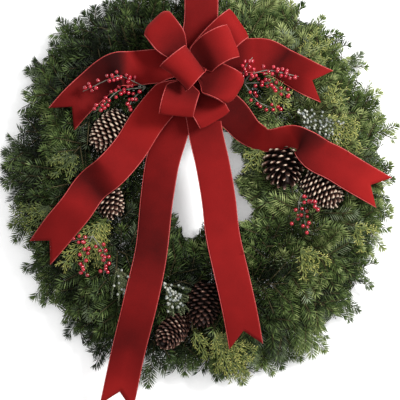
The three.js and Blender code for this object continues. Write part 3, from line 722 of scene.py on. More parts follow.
# Each spray: its node, where it comes out of the fir, where it ends, how many fans it has and
# how light it is; some are further sprays that the bunches carry
CEDAR_SPRAYS = [
    ("cedar_spray_right", [190, 90], [238, 44], 5, 0.0),
    ("cedar_spray_upper_right", [192, 104], [214, 142], 4, -0.04),
    ("cedar_spray_top_right", [150, 184], [204, 206], 3, -0.1),
    ("cedar_spray_left", [-140, -58], [-208, -134], 5, 0.0),
    ("cedar_spray_far_left", [-226, -42], [-284, -86], 4, -0.28),
    ("cedar_spray_upper_left", [-186, 34], [-230, -8], 3, -0.30),
    ("cedar_spray_bottom", [22, -236], [74, -304], 5, -0.04),
    ("cedar_spray_bottom_left", [-12, -228], [4, -282], 4, -0.1),
    ("fir_bunch_08", [150, -108], [186, -154], 3, 0.0),
    ("fir_bunch_09", [232, -72], [270, -108], 2, 0.0),
    ("fir_bunch_10", [90, 44], [60, 4], 3, -0.05),
    ("fir_bunch_11", [104, 130], [138, 102], 3, -0.02),
]


def seat_below(place, above):
    """Where something that comes out at a place is pushed in between the stems."""
    return polar(STEMS_CIRCLE, math.degrees(math.atan2(place[1], place[0])), STEMS_HEIGHT + above)


def on_front(place, above):
    """A place at some height above the foliage's front."""
    return np.array([*place[:2], front_height(math.hypot(*place[:2])) + above])


def add_stalk(heap, head, radii, finish):
    """A spray's stalk, from between the stems to where it comes out of the fir."""
    stalk = arched(seat_below(head, SEAT_ABOVE_STEMS), head, 0.05, len(radii))
    heap.add(*tube(stalk, radii, 6), finish)


def scaly(heap, points, radius, tones):
    """A branchlet whose width swells and narrows where its scale leaves overlap."""
    marks = distances_along(points)
    count = max(int(marks[-1] / SCALE_PITCH) * 2, 4)
    t = np.linspace(0, 1, count + 1)
    swell = np.take(SCALE_SWELL, np.arange(count + 1) % 2)
    taper = np.interp(t, [0, 0.85, 1], [1, 0.9, 0.35])
    shape, faces = tube(between(points, marks, t * marks[-1]), radius * swell * taper, 4, flat=0.6)
    heap.add(shape, faces, tones=np.repeat(np.interp(t, [0, 1], tones), 4))


def clear_path(points):
    """A spray's path kept under the ribbons and cut where it would meet one."""
    return cut_at_covers(under_covers(points, 3), 2)


def place_on(path, share):
    return path[min(int(share * (len(path) - 1)), len(path) - 2)]


def frond(heap, root, tip, keys, light):
    """A drooping midrib, its side branches and their branchlets, all nearly in one plane."""
    rib = clear_path(arched(root, tip, 0.12, 9))
    if len(rib) < 3:
        return
    scaly(heap, rib, 1.1, [0.2 + light, 0.75 + light])
    length = np.linalg.norm(tip - root)
    forward = unit(tip - root)
    side = unit(np.cross(forward, UP))
    branches = int(length / BRANCH_PITCH)
    for branch in range(branches):
        way = 1 if branch % 2 else -1
        t = (branch + 0.8) / (branches + 0.4)
        start = place_on(rib, t)
        reach = length * (0.36 - 0.22 * t) * (0.75 + 0.5 * chance(*keys, branch))
        heading = unit(forward * (0.8 + 0.15 * chance(*keys, branch + 70)) + side * way * 0.5)
        end = start + heading * reach + UP * reach * (0.7 * chance(*keys, branch + 50) - 0.4)
        bough = clear_path(arched(start, end, 0.1, 5))
        if len(bough) < 3:
            continue
        scaly(heap, bough, 0.95, [0.25 + light, 0.9 + light])
        twig_side = unit(np.cross(heading, UP))
        twigs = int(reach / TWIG_PITCH)
        for twig in range(twigs):
            twig_way = 1 if twig % 2 else -1
            s = (twig + 1) / (twigs + 0.5)
            base = place_on(bough, s)
            out = unit(heading * 0.8 + twig_side * twig_way * 0.6)
            stop = (base + out * (TWIG_LENGTH - 2.5 * s)
                    + UP * (chance(*keys, branch * 9 + twig) - 0.45) * 6)
            twiglet = clear_path(arched(base, stop, 0.15, 3))
            if len(twiglet) == 3:
                paler = 0.45 * chance(*keys, branch * 7 + twig + 5)
                scaly(heap, twiglet, 0.85, [0.3 + light, 0.7 + light + paler])


cedar_leaf = new_finish("cedar scale leaf", (0.27, 0.28, 0.06), 0.5, Specular_IOR_Level=0.2)
colour_ramp(cedar_leaf, blend_of(cedar_leaf, attribute(cedar_leaf, "tone"),
                                 noise(cedar_leaf, 90), 0.35), [
    (0.25, (0.022, 0.034, 0.008)), (0.50, (0.085, 0.105, 0.022)),
    (0.72, (0.215, 0.205, 0.048)), (0.92, (0.430, 0.385, 0.130))])
bump(cedar_leaf, noise(cedar_leaf, 1800), 0.35, 0.0003)

for index, (name, root, tip, fans, light) in enumerate(CEDAR_SPRAYS):
    heap = Heap()
    start, end = on_front(root, 3), on_front(tip, 4)
    add_stalk(heap, start, STALK_RADII, 1)
    for fan in range(fans):
        lean = fan / (fans - 1) - 0.5
        turn = math.radians(FAN_WIDTH * lean)
        reach = (end - start) * (1 - 0.3 * abs(lean) - 0.2 * chance(index, fan, 17))
        spun = np.array([reach[0] * math.cos(turn) - reach[1] * math.sin(turn),
                         reach[0] * math.sin(turn) + reach[1] * math.cos(turn),
                         reach[2] + 8 * chance(index, fan, 18)])
        frond(heap, start, start + spun, (index, fan), light)
    piece = heap.piece(f"{name}_cedar_{index + 1}", [cedar_leaf, fir_bark])
    dress(piece, name)


# Juniper sprays. Short prickly grey-green shoots that carry many round berries with a pale
# blue bloom. They are cut small and pushed in among the fir like the cedar.
JUNIPER_SHOOTS = 14
JUNIPER_FAN = 1.15
JUNIPER_BERRY_RADIUS = 2.0
LEAF_PITCH = 0.9
LEAF_LENGTH = 5

# Each spray: its node, where it comes out of the fir, where it ends and its berries to a shoot
JUNIPER_SPRAYS = [
    ("juniper_spray_right", [146, 100], [184, 64], 4),
    ("juniper_spray_right", [180, 92], [214, 58], 3),
    ("juniper_spray_bottom", [-54, -156], [-22, -200], 4),
    ("juniper_spray_left", [-126, -134], [-104, -174], 1),
]


def taken_apart(made):
    """Points and faces of a shape that was made only to be copied, and is removed."""
    points = np.array([vertex.co[:] for vertex in made.data.vertices])
    faces = [tuple(face.vertices) for face in made.data.polygons]
    bpy.data.objects.remove(made)
    return points, faces


def ball(radius, segments, rings):
    """Points and faces of a round ball about the origin."""
    bpy.ops.object.select_all(action="DESELECT")
    bpy.ops.mesh.primitive_uv_sphere_add(radius=radius, segments=segments, ring_count=rings)
    return taken_apart(bpy.context.object)


def prickles(path, shoot):
    """Shapes and tones of the pointed leaves that stand all round a juniper shoot."""
    count = int(np.linalg.norm(path[-1] - path[0]) / LEAF_PITCH)
    order = np.arange(count)
    roots = between(path, range(len(path)), (order + 0.5) / count * (len(path) - 1))
    along = unit(path[-1] - path[0])
    across, over = sides_of(along)
    turn = np.radians(order * GOLDEN_ANGLE)[:, None]
    heading = unit(along * 0.8 + across * np.cos(turn) * 0.6 + over * np.sin(turn) * 0.6)
    tips = roots + heading * LEAF_LENGTH * (0.7 + 0.5 * chance(order, shoot, 24))[:, None]
    shapes = needle_shapes(roots, tips, np.broadcast_to(along, roots.shape))
    return shapes, np.broadcast_to(0.3 + 0.6 * chance(order, shoot, 25)[:, None], (count, 4))


juniper_leaf = new_finish("juniper scale leaf", (0.1, 0.15, 0.09), 0.6, Specular_IOR_Level=0.2)
colour_ramp(juniper_leaf, blend_of(juniper_leaf, attribute(juniper_leaf, "tone"),
                                   noise(juniper_leaf, 120), 0.4), [
    (0.2, (0.020, 0.030, 0.014)), (0.6, (0.070, 0.090, 0.042)), (0.95, (0.190, 0.200, 0.110))])
juniper_berry = new_finish("juniper berry with pale bloom", (0.4, 0.47, 0.5), 0.6)
colour_ramp(juniper_berry, noise(juniper_berry, 260), [
    (0.35, (0.055, 0.070, 0.072)), (0.50, (0.160, 0.170, 0.150)), (0.68, (0.400, 0.400, 0.340))])

berry_points, berry_faces = ball(JUNIPER_BERRY_RADIUS, 10, 6)
for index, (name, root, tip, berries) in enumerate(JUNIPER_SPRAYS):
    heap = Heap()
    start, end = on_front(root, 2), on_front(tip, 3)
    add_stalk(heap, start, STALK_RADII, 2)
    forward = end - start
    side = unit(np.cross(forward, UP))
    for shoot in range(JUNIPER_SHOOTS):
        lean = (shoot / (JUNIPER_SHOOTS - 1) - 0.5) * JUNIPER_FAN
        reach = 0.75 + 0.4 * chance(index, shoot, 21)
        begin = start + forward * 0.35 * chance(index, shoot, 22)
        stop = (begin + forward * reach * (1 - abs(lean) * 0.3) + side * lean
                * np.linalg.norm(forward) + UP * 5 * (chance(index, shoot, 23) - 0.4))
        path = clear_path(arched(begin, stop, 0.08, 6))
        if len(path) < 3:
            continue
        heap.add(*tube(path, np.linspace(1.0, 0.6, len(path)), 4), finish=2)
        shapes, tones = prickles(path, shoot)
        heap.add_many(shapes, NEEDLE_FACES, np.zeros(4, int), tones)
        for berry in range(berries):
            s = (berry + 0.2 + 0.8 * chance(shoot, berry, 27)) / berries
            spot = path[int(s * (len(path) - 1))] + UP * 2.6
            spot = spot + side * 6 * (chance(index * 7 + shoot, berry, 26) - 0.5)
            if first_cover(spot - UP * 4, spot, 5) is None:
                heap.add(berry_points + spot, berry_faces, 1)
    dress(heap.piece(f"{name}_sprigs_{index + 1}", [juniper_leaf, juniper_berry, fir_bark]),
          name)


# Pine cones. Dry woody cones, each scale thick at its end with a pale worn tip, set in spirals
# round a core. A wire pick twisted round the cone's base goes down between the fir stems.
CONE_LENGTH = 72
CONE_RADIUS = 25
CONE_SCALES = 132
SCALE_WIDTH = 9.6
SCALE_THICKNESS = 3.4
LONGEST_SCALE = 22

# The core: how far along each of its points lies, in half lengths, and its radius there
CONE_CORE = [[-0.94, 7], [-0.6, 10], [0, 10], [0.5, 7], [0.86, 3]]

# A scale's lean from the cone's axis in degrees, from the cone's base to its end
SCALE_LEAN = [[0, 104], [0.25, 82], [0.7, 58], [1, 16]]

# A scale from root to end: share of its length, of its width and of its thickness, and tone
SCALE_FORM = np.array([[0, 0.3, 0.4, 0.05], [0.62, 0.75, 0.5, 0.30], [0.86, 1.0, 1.0, 0.52],
                       [1, 0.66, 0.6, 1.0]])

# Each cone: its node, middle, heading and tilt in degrees, how pale it is and how far open
CONES = [
    ("pine_cone_upper_left", [-138, 70, 62], 232, 10, 0.0, 1.0),
    ("pine_cone_right_inner", [125, 17, 56], -78, 34, -0.10, 1.3),
    ("pine_cone_right_outer", [184, -18, 60], -36, 8, 0.0, 1.0),
    ("pine_cone_left", [-140, -30, 50], -60, 10, -0.08, 1.0),
    ("pine_cone_bottom_left", [-42, -231, 50], 230, 45, -0.30, 0.92),
    ("pine_cone_bottom", [5, -192, 52], 262, 15, -0.42, 1.08),
]


def cone_scale():
    """Points, faces and tones of one scale: its root at the origin, its end along +X."""
    bpy.ops.object.select_all(action="DESELECT")
    bpy.ops.mesh.primitive_cube_add(size=1, location=(0.5, 0, 0))
    made = bpy.context.object
    bpy.ops.object.transform_apply(location=True, rotation=True, scale=True)
    bpy.ops.object.mode_set(mode="EDIT")
    bpy.ops.mesh.select_all(action="SELECT")
    bpy.ops.mesh.subdivide(number_cuts=2)
    bpy.ops.object.mode_set(mode="OBJECT")
    points, faces = taken_apart(made)
    x, y, z = points.T
    x, width, thick, tones = between(SCALE_FORM, np.linspace(0, 1, 4), x).T
    rounded = (2 * y) ** 2
    shape = np.stack([x - 0.12 * rounded * x, y * width, z * thick * (1 - 0.4 * rounded)], axis=1)
    return shape, faces, tones - 0.25 * rounded


cone_wood = new_finish("dry cone scale", (0.06, 0.03, 0.02), 0.65, Specular_IOR_Level=0.15)
cone_tone = blend_of(cone_wood, attribute(cone_wood, "tone"), noise(cone_wood, 260), 0.22)
colour_ramp(cone_wood, cone_tone, [
    (0.22, (0.009, 0.004, 0.003)), (0.45, (0.040, 0.016, 0.011)),
    (0.62, (0.110, 0.052, 0.036)), (0.78, (0.430, 0.340, 0.260))])
bump(cone_wood, noise(cone_wood, 900), 0.5, 0.0006)

scale_points, scale_faces, scale_tones = cone_scale()
for index, (name, centre, heading, tilt, paleness, spread) in enumerate(CONES):
    heap = Heap()
    centre = np.array(centre, float)
    axis = polar(math.cos(math.radians(tilt)), heading, math.sin(math.radians(tilt)))
    side, over = sides_of(axis)
    half = CONE_LENGTH / 2
    core = [centre + axis * half * share for share, _ in CONE_CORE]
    heap.add(*tube(core, [radius for _, radius in CONE_CORE], 10), tones=0.1)
    scales = round(CONE_SCALES / spread)
    for number in range(scales):
        t = (number + 0.5) / scales
        turn = math.radians(number * GOLDEN_ANGLE)
        outward = side * math.cos(turn) + over * math.sin(turn)
        bulge = math.sqrt(math.sin(math.pi * (0.12 + 0.84 * t)))
        lean = math.radians(profile(SCALE_LEAN, t) + 6 * (chance(index, number, 31) - 0.5))
        point = outward * math.sin(lean) + axis * math.cos(lean)
        width = unit(np.cross(axis, outward))
        long = min(CONE_RADIUS * bulge * 0.75 / max(math.sin(lean), 0.35), LONGEST_SCALE)
        end = (centre + axis * half * (1.9 * t - 0.95)
               + outward * CONE_RADIUS * spread * bulge * (0.94 + 0.08 * chance(index, number, 33)))
        size = 0.5 + 0.5 * bulge
        shape = (end + (scale_points[:, :1] - 1) * point * long
                 + scale_points[:, 1:2] * width * SCALE_WIDTH * size
                 + scale_points[:, 2:] * unit(np.cross(point, width)) * SCALE_THICKNESS * size)
        worn = paleness + 0.3 * (chance(index, number, 32) - 0.6)
        heap.add(shape, scale_faces, tones=scale_tones + worn)
    heel = centre - axis * (half - 8)
    seat = seat_below(heel, 9)
    heap.add(*tube([heel, (heel + seat) / 2, seat], [1.2, 1.1, 1.0], 6), finish=1)
    dress(heap.piece(name + "_scales", [cone_wood, wire_enamel]), name)


# Red berries. Glossy round berries on short stalks along grey-green woody stems, cut from a
# berried shrub. The stems stick out over the ribbon tails and cones from roots in the fir.
BERRY_RADIUS = 3
BERRY_LIFT = 6
BERRY_PITCH = 4.2
BERRY_STALK = 2.0
BARE_SHARE = 0.22
MISSING_SHARE = 0.2
STEM_POINTS = 16

# Each spray: its node, where it comes out of the fir, and the points of its stems; a third
# number lifts a point further
BERRY_SPRAYS = [
    ("red_berries_upper_left", [-81, 135], [
        [[-120, 153, 26], [-146, 141, 22], [-174, 128, 20]],
        [[-123, 130, 6], [-144, 106, 20], [-158, 96, 18]],
        [[-102, 116, 2], [-108, 98, 6]],
    ]),
    ("red_berries_upper_right", [66, 141], [
        [[72, 152, 20], [99, 160, 28], [146, 150, 22]],
        [[102, 142, 2], [135, 122]],
        [[86, 113], [122, 98]],
        [[64, 158, 18], [70, 170, 22], [78, 178, 20]],
    ]),
    ("red_berries_right", [147, -36], [
        [[152, -22, 2], [160, -36, 3], [178, -44, 20]],
        [[147, -52], [136, -72]],
        [[156, -52], [156, -70], [164, -80]],
    ]),
    ("red_berries_lower_left", [-160, -87], [
        [[-174, -110], [-171, -148]],
        [[-140, -114], [-144, -147]],
        [[-184, -93], [-204, -98]],
    ]),
]


def stem_path(head, stem):
    """A berry stem's way from its spray's head through its points, its corners rounded."""
    corners = np.array([head, *(on_front(place, BERRY_LIFT + sum(place[2:])) for place in stem)])
    marks = distances_along(corners)
    path = between(corners, marks, np.linspace(0, marks[-1], STEM_POINTS))
    for _ in range(2):
        path[1:-1] = (path[:-2] + path[1:-1] * 2 + path[2:]) / 4
    return path, marks[-1]


berry_skin = new_finish("glossy red berry", (0.45, 0.012, 0.03), 0.16,
                        Coat_Weight=0.3, Coat_Roughness=0.08)
colour_ramp(berry_skin, noise(berry_skin, 160), [
    (0.35, (0.150, 0.002, 0.006)), (0.55, (0.270, 0.004, 0.014)), (0.70, (0.360, 0.012, 0.026))])
berry_stem = new_finish("berry stem bark", (0.25, 0.25, 0.18), 0.7)
colour_ramp(berry_stem, noise(berry_stem, 300), [
    (0.3, (0.060, 0.055, 0.040)), (0.6, (0.150, 0.150, 0.120)), (0.8, (0.240, 0.190, 0.170))])

berry_points, berry_faces = ball(BERRY_RADIUS, 14, 9)
for index, (name, root, stems) in enumerate(BERRY_SPRAYS):
    heap = Heap()
    head = on_front(root, BERRY_LIFT)
    heap.add(*tube(arched(seat_below(root, 9), head, 0.03, 4), [1.3, 1.2, 1.1, 1.0], 7), finish=1)
    for number, stem in enumerate(stems):
        path, length = stem_path(head, stem)
        heap.add(*tube(path, np.linspace(0.9, 0.45, len(path)), 6), finish=1)
        travel = travel_along(path)
        count = int(length / BERRY_PITCH)
        for berry in range(count):
            t = BARE_SHARE + (1 - BARE_SHARE) * (berry + 0.6) / count
            i = min(int(t * (len(path) - 1)), len(path) - 1)
            if chance(index * 5 + number, berry, 41) < MISSING_SHARE:
                continue
            side = unit(np.cross(travel[i], UP))
            turn = math.radians(berry * GOLDEN_ANGLE + 40 * number)
            out = unit(side * math.cos(turn) + UP * (0.35 + 0.65 * abs(math.sin(turn)))
                       + travel[i] * 0.25)
            stalk = BERRY_STALK + 2.4 * chance(index, berry + number * 20, 42)
            spot = path[i] + out * (stalk + BERRY_RADIUS)
            if first_cover(path[i], spot, BERRY_RADIUS + 0.5) is not None:
                continue
            heap.add(*tube([path[i], path[i] + out * (stalk + 0.6)], [0.45, 0.4], 4), finish=1)
            size = 0.9 + 0.2 * chance(index, berry, 43 + number)
            heap.add(berry_points * size + spot, berry_faces)
    dress(heap.piece(name + "_sprig", [berry_skin, berry_stem], smooth=True), name)


# Bow wire. A twisted pair of thin green wires that runs from the inner hoop up behind the bow
# and grips its knot. Only the back of the wreath shows it.
KNOT_PLACE = np.array([-13.5, 153.0])
KNOT_RADIUS = 8
KNOT_LOW = 74
KNOT_HIGH = 116
BOW_WIRE_RADIUS = 0.75
TWIST_RADIUS = 0.85
TWIST_PER_SPAN = 12

seat_angle = math.degrees(math.atan2(INNER_HOOP_RADIUS, KNOT_PLACE[0]))
spine = np.array([
    polar(INNER_HOOP_RADIUS, seat_angle, HOOP_WIRE + CLEARANCE),
    polar(INNER_HOOP_RADIUS - 3, seat_angle, 30),
    [*KNOT_PLACE, KNOT_LOW - 18],
    [*KNOT_PLACE, KNOT_LOW - CLEARANCE],
])
heap = Heap()
steps = np.linspace(0, len(spine) - 1, 70)
for strand in (0, math.pi):
    spin = steps * TWIST_PER_SPAN + strand
    twist = np.stack([np.cos(spin), np.sin(spin), np.zeros_like(spin)], axis=1) * TWIST_RADIUS
    route = between(spine, range(len(spine)), steps) + twist
    heap.add(*tube(route, [BOW_WIRE_RADIUS] * len(route), 6))
dress(heap.piece("bow_wire_pair", [wire_enamel], smooth=True), "bow_wire")


# Bow and its tails. All of it is 50 mm red velvet ribbon with a fine wire woven into each edge,
# which keeps the loops open and the tails in their waves. The runs are pinched into pleats at
# the knot, tails lowest, and the free ends of the tails are cut to a V.
RIBBON_WIDTH = 50
RIBBON_THICKNESS = 0.9
SELVAGE_RADIUS = 0.75
GATHERED_WIDTH = 10
GATHER_LENGTH = 42
LOOP_GATHER_LENGTH = 22
PLEATS = 3.5
PLEAT_DEPTH = 1.15
RIPPLE_DEPTH = 1.2
RIPPLE_LENGTH = 31
RIPPLE_SHIFT = 1.7
CUP_DEPTH = 0.9
NOTCH_DEPTH = 26
NOTCH_START = 0.55
LAYER_HEIGHT = 3

# Places of a ribbon's points across it, as shares of half its width
ACROSS = np.linspace(-1, 1, 19)

velvet = new_finish("red velvet ribbon", (0.15, 0.005, 0.005), 0.9, Specular_IOR_Level=0.1,
                    Sheen_Weight=0.25, Sheen_Roughness=0.35, Sheen_Tint=(1.0, 0.14, 0.12, 1))
velvet_pile = blend_of(velvet, noise(velvet, 30, 2), noise(velvet, 700, 4), 0.5)
# The base colour mixes the pile's own mottling with painted shading, dark where a run is painted in
# shade
colour_ramp(velvet, blend_of(velvet, velvet_pile, attribute(velvet, "painted_shading"), 0.6), [
    (0.0, (0.016, 0.0006, 0.0006)), (0.15, (0.044, 0.0013, 0.0013)),
    (0.36, (0.096, 0.0024, 0.0024)), (0.52, (0.138, 0.0036, 0.0036)),
    (0.70, (0.180, 0.0055, 0.0050))])
bump(velvet, noise(velvet, 1600, 5), 0.35, 0.0004)
selvage = new_finish("wired ribbon edge", (0.30, 0.02, 0.02), 0.5, Specular_IOR_Level=0.3)
colour_ramp(selvage, noise(selvage, 500), [
    (0.35, (0.220, 0.010, 0.010)), (0.65, (0.360, 0.048, 0.044))])


def smooth_route(points, steps):
    """Centripetal curve through points (x, y, z, roll, painted shading); returns places, rolls,
    shadings.
    """
    rolls = [point[3] if len(point) > 3 else 0 for point in points]
    shadings = [point[4] if len(point) > 4 else 0.5 for point in points]
    places = np.array([point[:3] for point in points], float)
    places = np.vstack([2 * places[0] - places[1], places, 2 * places[-1] - places[-2]])
    route, turned, shading_along = [], [], []
    for span in range(len(points) - 1):
        before, here, there, after = places[span:span + 4]
        d0, d1, d2 = (max(math.sqrt(np.linalg.norm(b - a)), 1e-4)
                      for a, b in ((before, here), (here, there), (there, after)))
        leave = ((here - before) / d0 - (there - before) / (d0 + d1) + (there - here) / d1) * d1
        arrive = ((there - here) / d1 - (after - here) / (d1 + d2) + (after - there) / d2) * d1
        last = span == len(points) - 2
        for t in np.linspace(0, 1, steps + 1)[:steps + 1 if last else steps]:
            bend = (-3 * here + 3 * there - 2 * leave - arrive) * t * t
            twist = (2 * here - 2 * there + leave + arrive) * t ** 3
            route.append(here + leave * t + bend + twist)
            turned.append(rolls[span] + (rolls[span + 1] - rolls[span]) * t)
            shading_along.append(shadings[span] + (shadings[span + 1] - shadings[span]) * t)
    return np.array(route), np.array(turned), np.array(shading_along)


def gathered_width(distance, gather_length):
    """The ribbon's width at a distance from the knot."""
    share = np.minimum(distance / gather_length, 1)
    return GATHERED_WIDTH + (RIBBON_WIDTH - GATHERED_WIDTH) * share * share * (3 - 2 * share)


def laid_out(route, across, widths, ripple=0.0, phase=0.0):
    """Rows of points across a ribbon's route: pleated where it is narrow, cupped where wide."""
    travel = travel_along(route)
    side = unit(across - travel * np.sum(across * travel, axis=1, keepdims=True))
    over = np.cross(side, travel)
    narrow = 1 - (widths[:, None] - GATHERED_WIDTH) / (RIBBON_WIDTH - GATHERED_WIDTH)
    pleat = narrow ** 1.5 * PLEAT_DEPTH * np.cos(ACROSS * math.pi * PLEATS)
    swing = np.sin(distances_along(route) / RIPPLE_LENGTH + phase)[:, None]
    wave = ripple * (1 - narrow) * swing * ACROSS * np.abs(ACROSS)
    cup = CUP_DEPTH * (1 - narrow) * (ACROSS * ACROSS - 0.4)
    return (route[:, None] + side[:, None] * (ACROSS * widths[:, None] / 2)[:, :, None]
            + over[:, None] * (pleat + wave - cup)[:, :, None])


def cut_to_a_v(grid, marks):
    """Draws a ribbon's last rows back to a V, deepest in the middle."""
    first = int(len(grid) * NOTCH_START)
    run = marks[first:] - marks[first]
    for column, share in enumerate(ACROSS):
        kept = 1 - NOTCH_DEPTH * (1 - abs(share)) / run[-1]
        grid[first:, column] = between(grid[:, column], marks, marks[first] + run * kept)


def velvet_strip(name, grid, shadings):
    """A ribbon's rows of points made a strip of velvet with a wired edge on each side."""
    rows, columns = grid.shape[:2]
    corners = np.arange(rows * columns).reshape(rows, columns)
    faces = np.stack([corners[:-1, :-1], corners[:-1, 1:], corners[1:, 1:], corners[1:, :-1]],
                     axis=2).reshape(-1, 4)
    strip = new_piece(name, grid.reshape(-1, 3), faces.tolist(), [velvet])
    # Painted light and shade along the ribbon, for its finish to read
    mark_points(strip, "painted_shading", np.repeat(shadings, columns))
    select_only(strip)
    body = strip.modifiers.new("body", "SOLIDIFY")
    body.thickness = RIBBON_THICKNESS * MM
    body.offset = 0
    bpy.ops.object.modifier_apply(modifier=body.name)
    bpy.ops.object.shade_smooth()
    edges = Heap()
    for column in (0, columns - 1):
        edges.add(*tube(grid[:, column], [SELVAGE_RADIUS] * rows, 6))
    select_only(strip, edges.piece(name + "_edges", [selvage], smooth=True))
    bpy.ops.object.join()
    return strip


def dress_ribbon(strip, node, length, notched=False):
    """Lays a ribbon on the wreath and works out the flat sheet it is cut from, which nothing uses.
    """
    dress(strip, node)
    area = length * RIBBON_WIDTH - (RIBBON_WIDTH * NOTCH_DEPTH / 2 if notched else 0)
    flat = (RIBBON_WIDTH * MM, round(length * MM, 3))
    area = min(area * MM * MM, flat[0] * flat[1])


def knot_exit(place, layer):
    """Where a run leaves the knot's side towards a place, in its layer."""
    out = unit(np.array(place[:2]) - KNOT_PLACE) * (KNOT_RADIUS + CLEARANCE)
    return [*(KNOT_PLACE + out), KNOT_LOW + LAYER_HEIGHT * (layer + 1)]


# Each tail: its node, its layer at the knot and its route's points: place, roll in degrees and
# painted shading, from 0 where the velvet is painted in shade to 1 where it is painted in light
TAILS = [
    ("ribbon_tail_upper_left", 1, [[-56, 166, 81, 0, 0.4], [-90, 164, 83, 0, 0.55],
        [-107, 162, 96, 0, 0.3], [-121, 161, 102, 0, -0.4], [-139, 153, 88, -16, -0.25],
        [-160, 136, 77, -12, 0.0], [-186, 111, 83, 0, 0.22], [-207, 88, 73, 0, 0.3]]),
    ("ribbon_tail_lower_left", 2, [[-48, 121, 85, 0, 0.35], [-79, 84, 82, 0, 0.75],
        [-105, 43, 84, 0, 0.38], [-133, 10, 103, 0, 0.36], [-162, -13, 83, 6, -0.1],
        [-185, -46, 92, 0, 0.45], [-208, -73, 82, 0, 0.45], [-240, -112, 62, 24, 0.5]]),
    ("ribbon_tail_long_left", 0, [[-30, 110, 75, 0, 0.3], [-44, 64, 69, 8, 0.35],
        [-56, 24, 67, 12, 0.35], [-65, -33, 66, 16, 0.15], [-73, -110, 79, 18, 0.0],
        [-89, -186, 90, 8, 0.3], [-108, -262, 64, 8, 0.15], [-126, -346, 42, 0, 0.9]]),
    ("ribbon_tail_long_right", 1, [[4, 94, 78, 0, 0.3], [9, 64, 73, 0, 0.25], [19, 20, 67, -3],
        [28, -33, 66, -4], [34, -85, 69, -4], [47, -144, 84], [59, -198, 88], [69, -252, 72]]),
    ("ribbon_tail_upper_right", 0, [[22, 166, 79, 0, 0.1], [60, 180, 88, 0, 0.15],
        [80, 182, 88, 3, 0.5], [97, 181, 88, 6, 0.3], [122, 170, 80, 22, -0.15],
        [140, 160, 84, 16, 0.25], [165, 146, 92, 4, 0.32], [189, 136, 83]]),
    ("ribbon_tail_lower_right", 2, [[22, 117, 84, 0, 0.0], [48, 96, 79, 14, -0.05],
        [74, 68, 74, 38, 0.2], [102, 56, 78, 52, 1.1], [133, 60, 92, 56, 1.2],
        [152, 54, 102, 48, -0.2], [175, 34, 92, 0, 0.2], [199, 22, 91, 0, 0.45], [231, 3, 80],
        [276, -22, 60, 0, 0.9]]),
    ("ribbon_top_band", 1, [[-6, 189, 83, 0, 0.15], [1, 231, 81, -12, 0.2],
        [2, 266, 70, -12, 0.35], [2, 292, 52], [2, 303, 30], [2, 294, 9], [2, 268, 3],
        [2, OUTER_HOOP_RADIUS + 2.35, 2]]),
]
for index, (name, layer, points) in enumerate(TAILS):
    is_band = name == "ribbon_top_band"
    route, rolls, shadings = smooth_route([knot_exit(points[0], layer)] + points, 7)
    travel = travel_along(route)
    level = unit(np.cross(travel, UP))
    turn = np.radians(rolls)[:, None]
    across = level * np.cos(turn) + np.cross(travel, level) * np.sin(turn)
    marks = distances_along(route)
    grid = laid_out(route, across, gathered_width(marks, GATHER_LENGTH),
                    0 if is_band else RIPPLE_DEPTH, index * RIPPLE_SHIFT)
    if not is_band:
        cut_to_a_v(grid, marks)
    dress_ribbon(velvet_strip(name + "_velvet", grid, shadings), name, marks[-1],
                 notched=not is_band)

# Each loop: its node, the way it goes from the knot, where it ends, the direction across it in
# degrees, its low and high run, their layers at the knot, and how its end's corners are drawn in
LOOPS = [
    ("bow_loop_upper_left", [-35, 193], [-68, 235], 44, 87, 116, [3, 6], 8,
     64),
    ("bow_loop_upper_right_back", [24, 206], [59, 231], -56, 91, 107, [3, 6], 3,
     LOOP_GATHER_LENGTH),
    ("bow_loop_lower_right_back", [9, 107], [23, 84], 211, 87, 103, [3, 6], 3,
     LOOP_GATHER_LENGTH),
    ("bow_loop_upper_right_front", [9, 192], [50, 203], -68, 110, 132, [7, 10], 3,
     LOOP_GATHER_LENGTH),
    ("bow_loop_bottom", [-29, 128], [-36, 91], 174, 107, 128, [7, 10], 2,
     LOOP_GATHER_LENGTH),
    ("bow_loop_right", [24, 149], [58, 128], -120, 107, 130, [8, 11], 11,
     LOOP_GATHER_LENGTH),
]


def loop_points(via, end, low, high, layers):
    """A loop's middle line: out along a low run, round its end and back over a high run."""
    via, end = np.array(via, float), np.array(end, float)

    def plan(t):
        return (1 - t) ** 2 * KNOT_PLACE + 2 * t * (1 - t) * via + t * t * end

    bottom, top = (KNOT_LOW + LAYER_HEIGHT * (layer + 1) for layer in layers)
    low_run = [[0.3, bottom + (low - bottom) * 0.7], [0.55, low], [0.8, low + 2], [0.95, low + 7]]
    high_run = [[0.95, high - 5], [0.8, high], [0.55, high - 3], [0.3, top + (high - top) * 0.25]]
    return [knot_exit(plan(0.3), layers[0]),
            *([*plan(t), z] for t, z in low_run),
            [*end, (low + high) / 2 + 1],
            *([*plan(t), z] for t, z in high_run),
            knot_exit(plan(0.3), layers[1])]


def add_loop(name, points, across_angle, gather=LOOP_GATHER_LENGTH, rounded=0, flare=None):
    """A loop of ribbon; flare opens it to a cone about a middle, by a share of its radius."""
    route = smooth_route(points, 6)[0]
    marks = distances_along(route)
    to_knot = np.minimum(marks, marks[-1] - marks)
    share = to_knot / to_knot.max()
    # Painted shade, darkest at the knot and lighter towards the loop's end
    shadings = np.interp(share, [0, 0.44, 0.72, 0.9], [-0.1, 0.08, 0.42, 0.6])
    across = np.broadcast_to(polar(1, across_angle, 0), route.shape)
    grid = laid_out(route, across, gathered_width(to_knot, gather))
    outward = unit((route - [*KNOT_PLACE, 0]) * [1, 1, 0])
    grid -= (outward * rounded * share[:, None] ** 2)[:, None] * ACROSS[:, None] ** 4
    if flare:
        middle, amount = flare
        way = travel_along(route)[0]
        side = unit(across[0] - way * (across[0] @ way))
        away = grid - middle
        away -= np.sum(away * side, axis=2, keepdims=True) * side
        eased = np.sin(math.pi * marks / marks[-1])[:, None, None]
        grid += away * amount * ACROSS[:, None] * eased
    dress_ribbon(velvet_strip(name + "_velvet", grid, shadings), name, marks[-1])


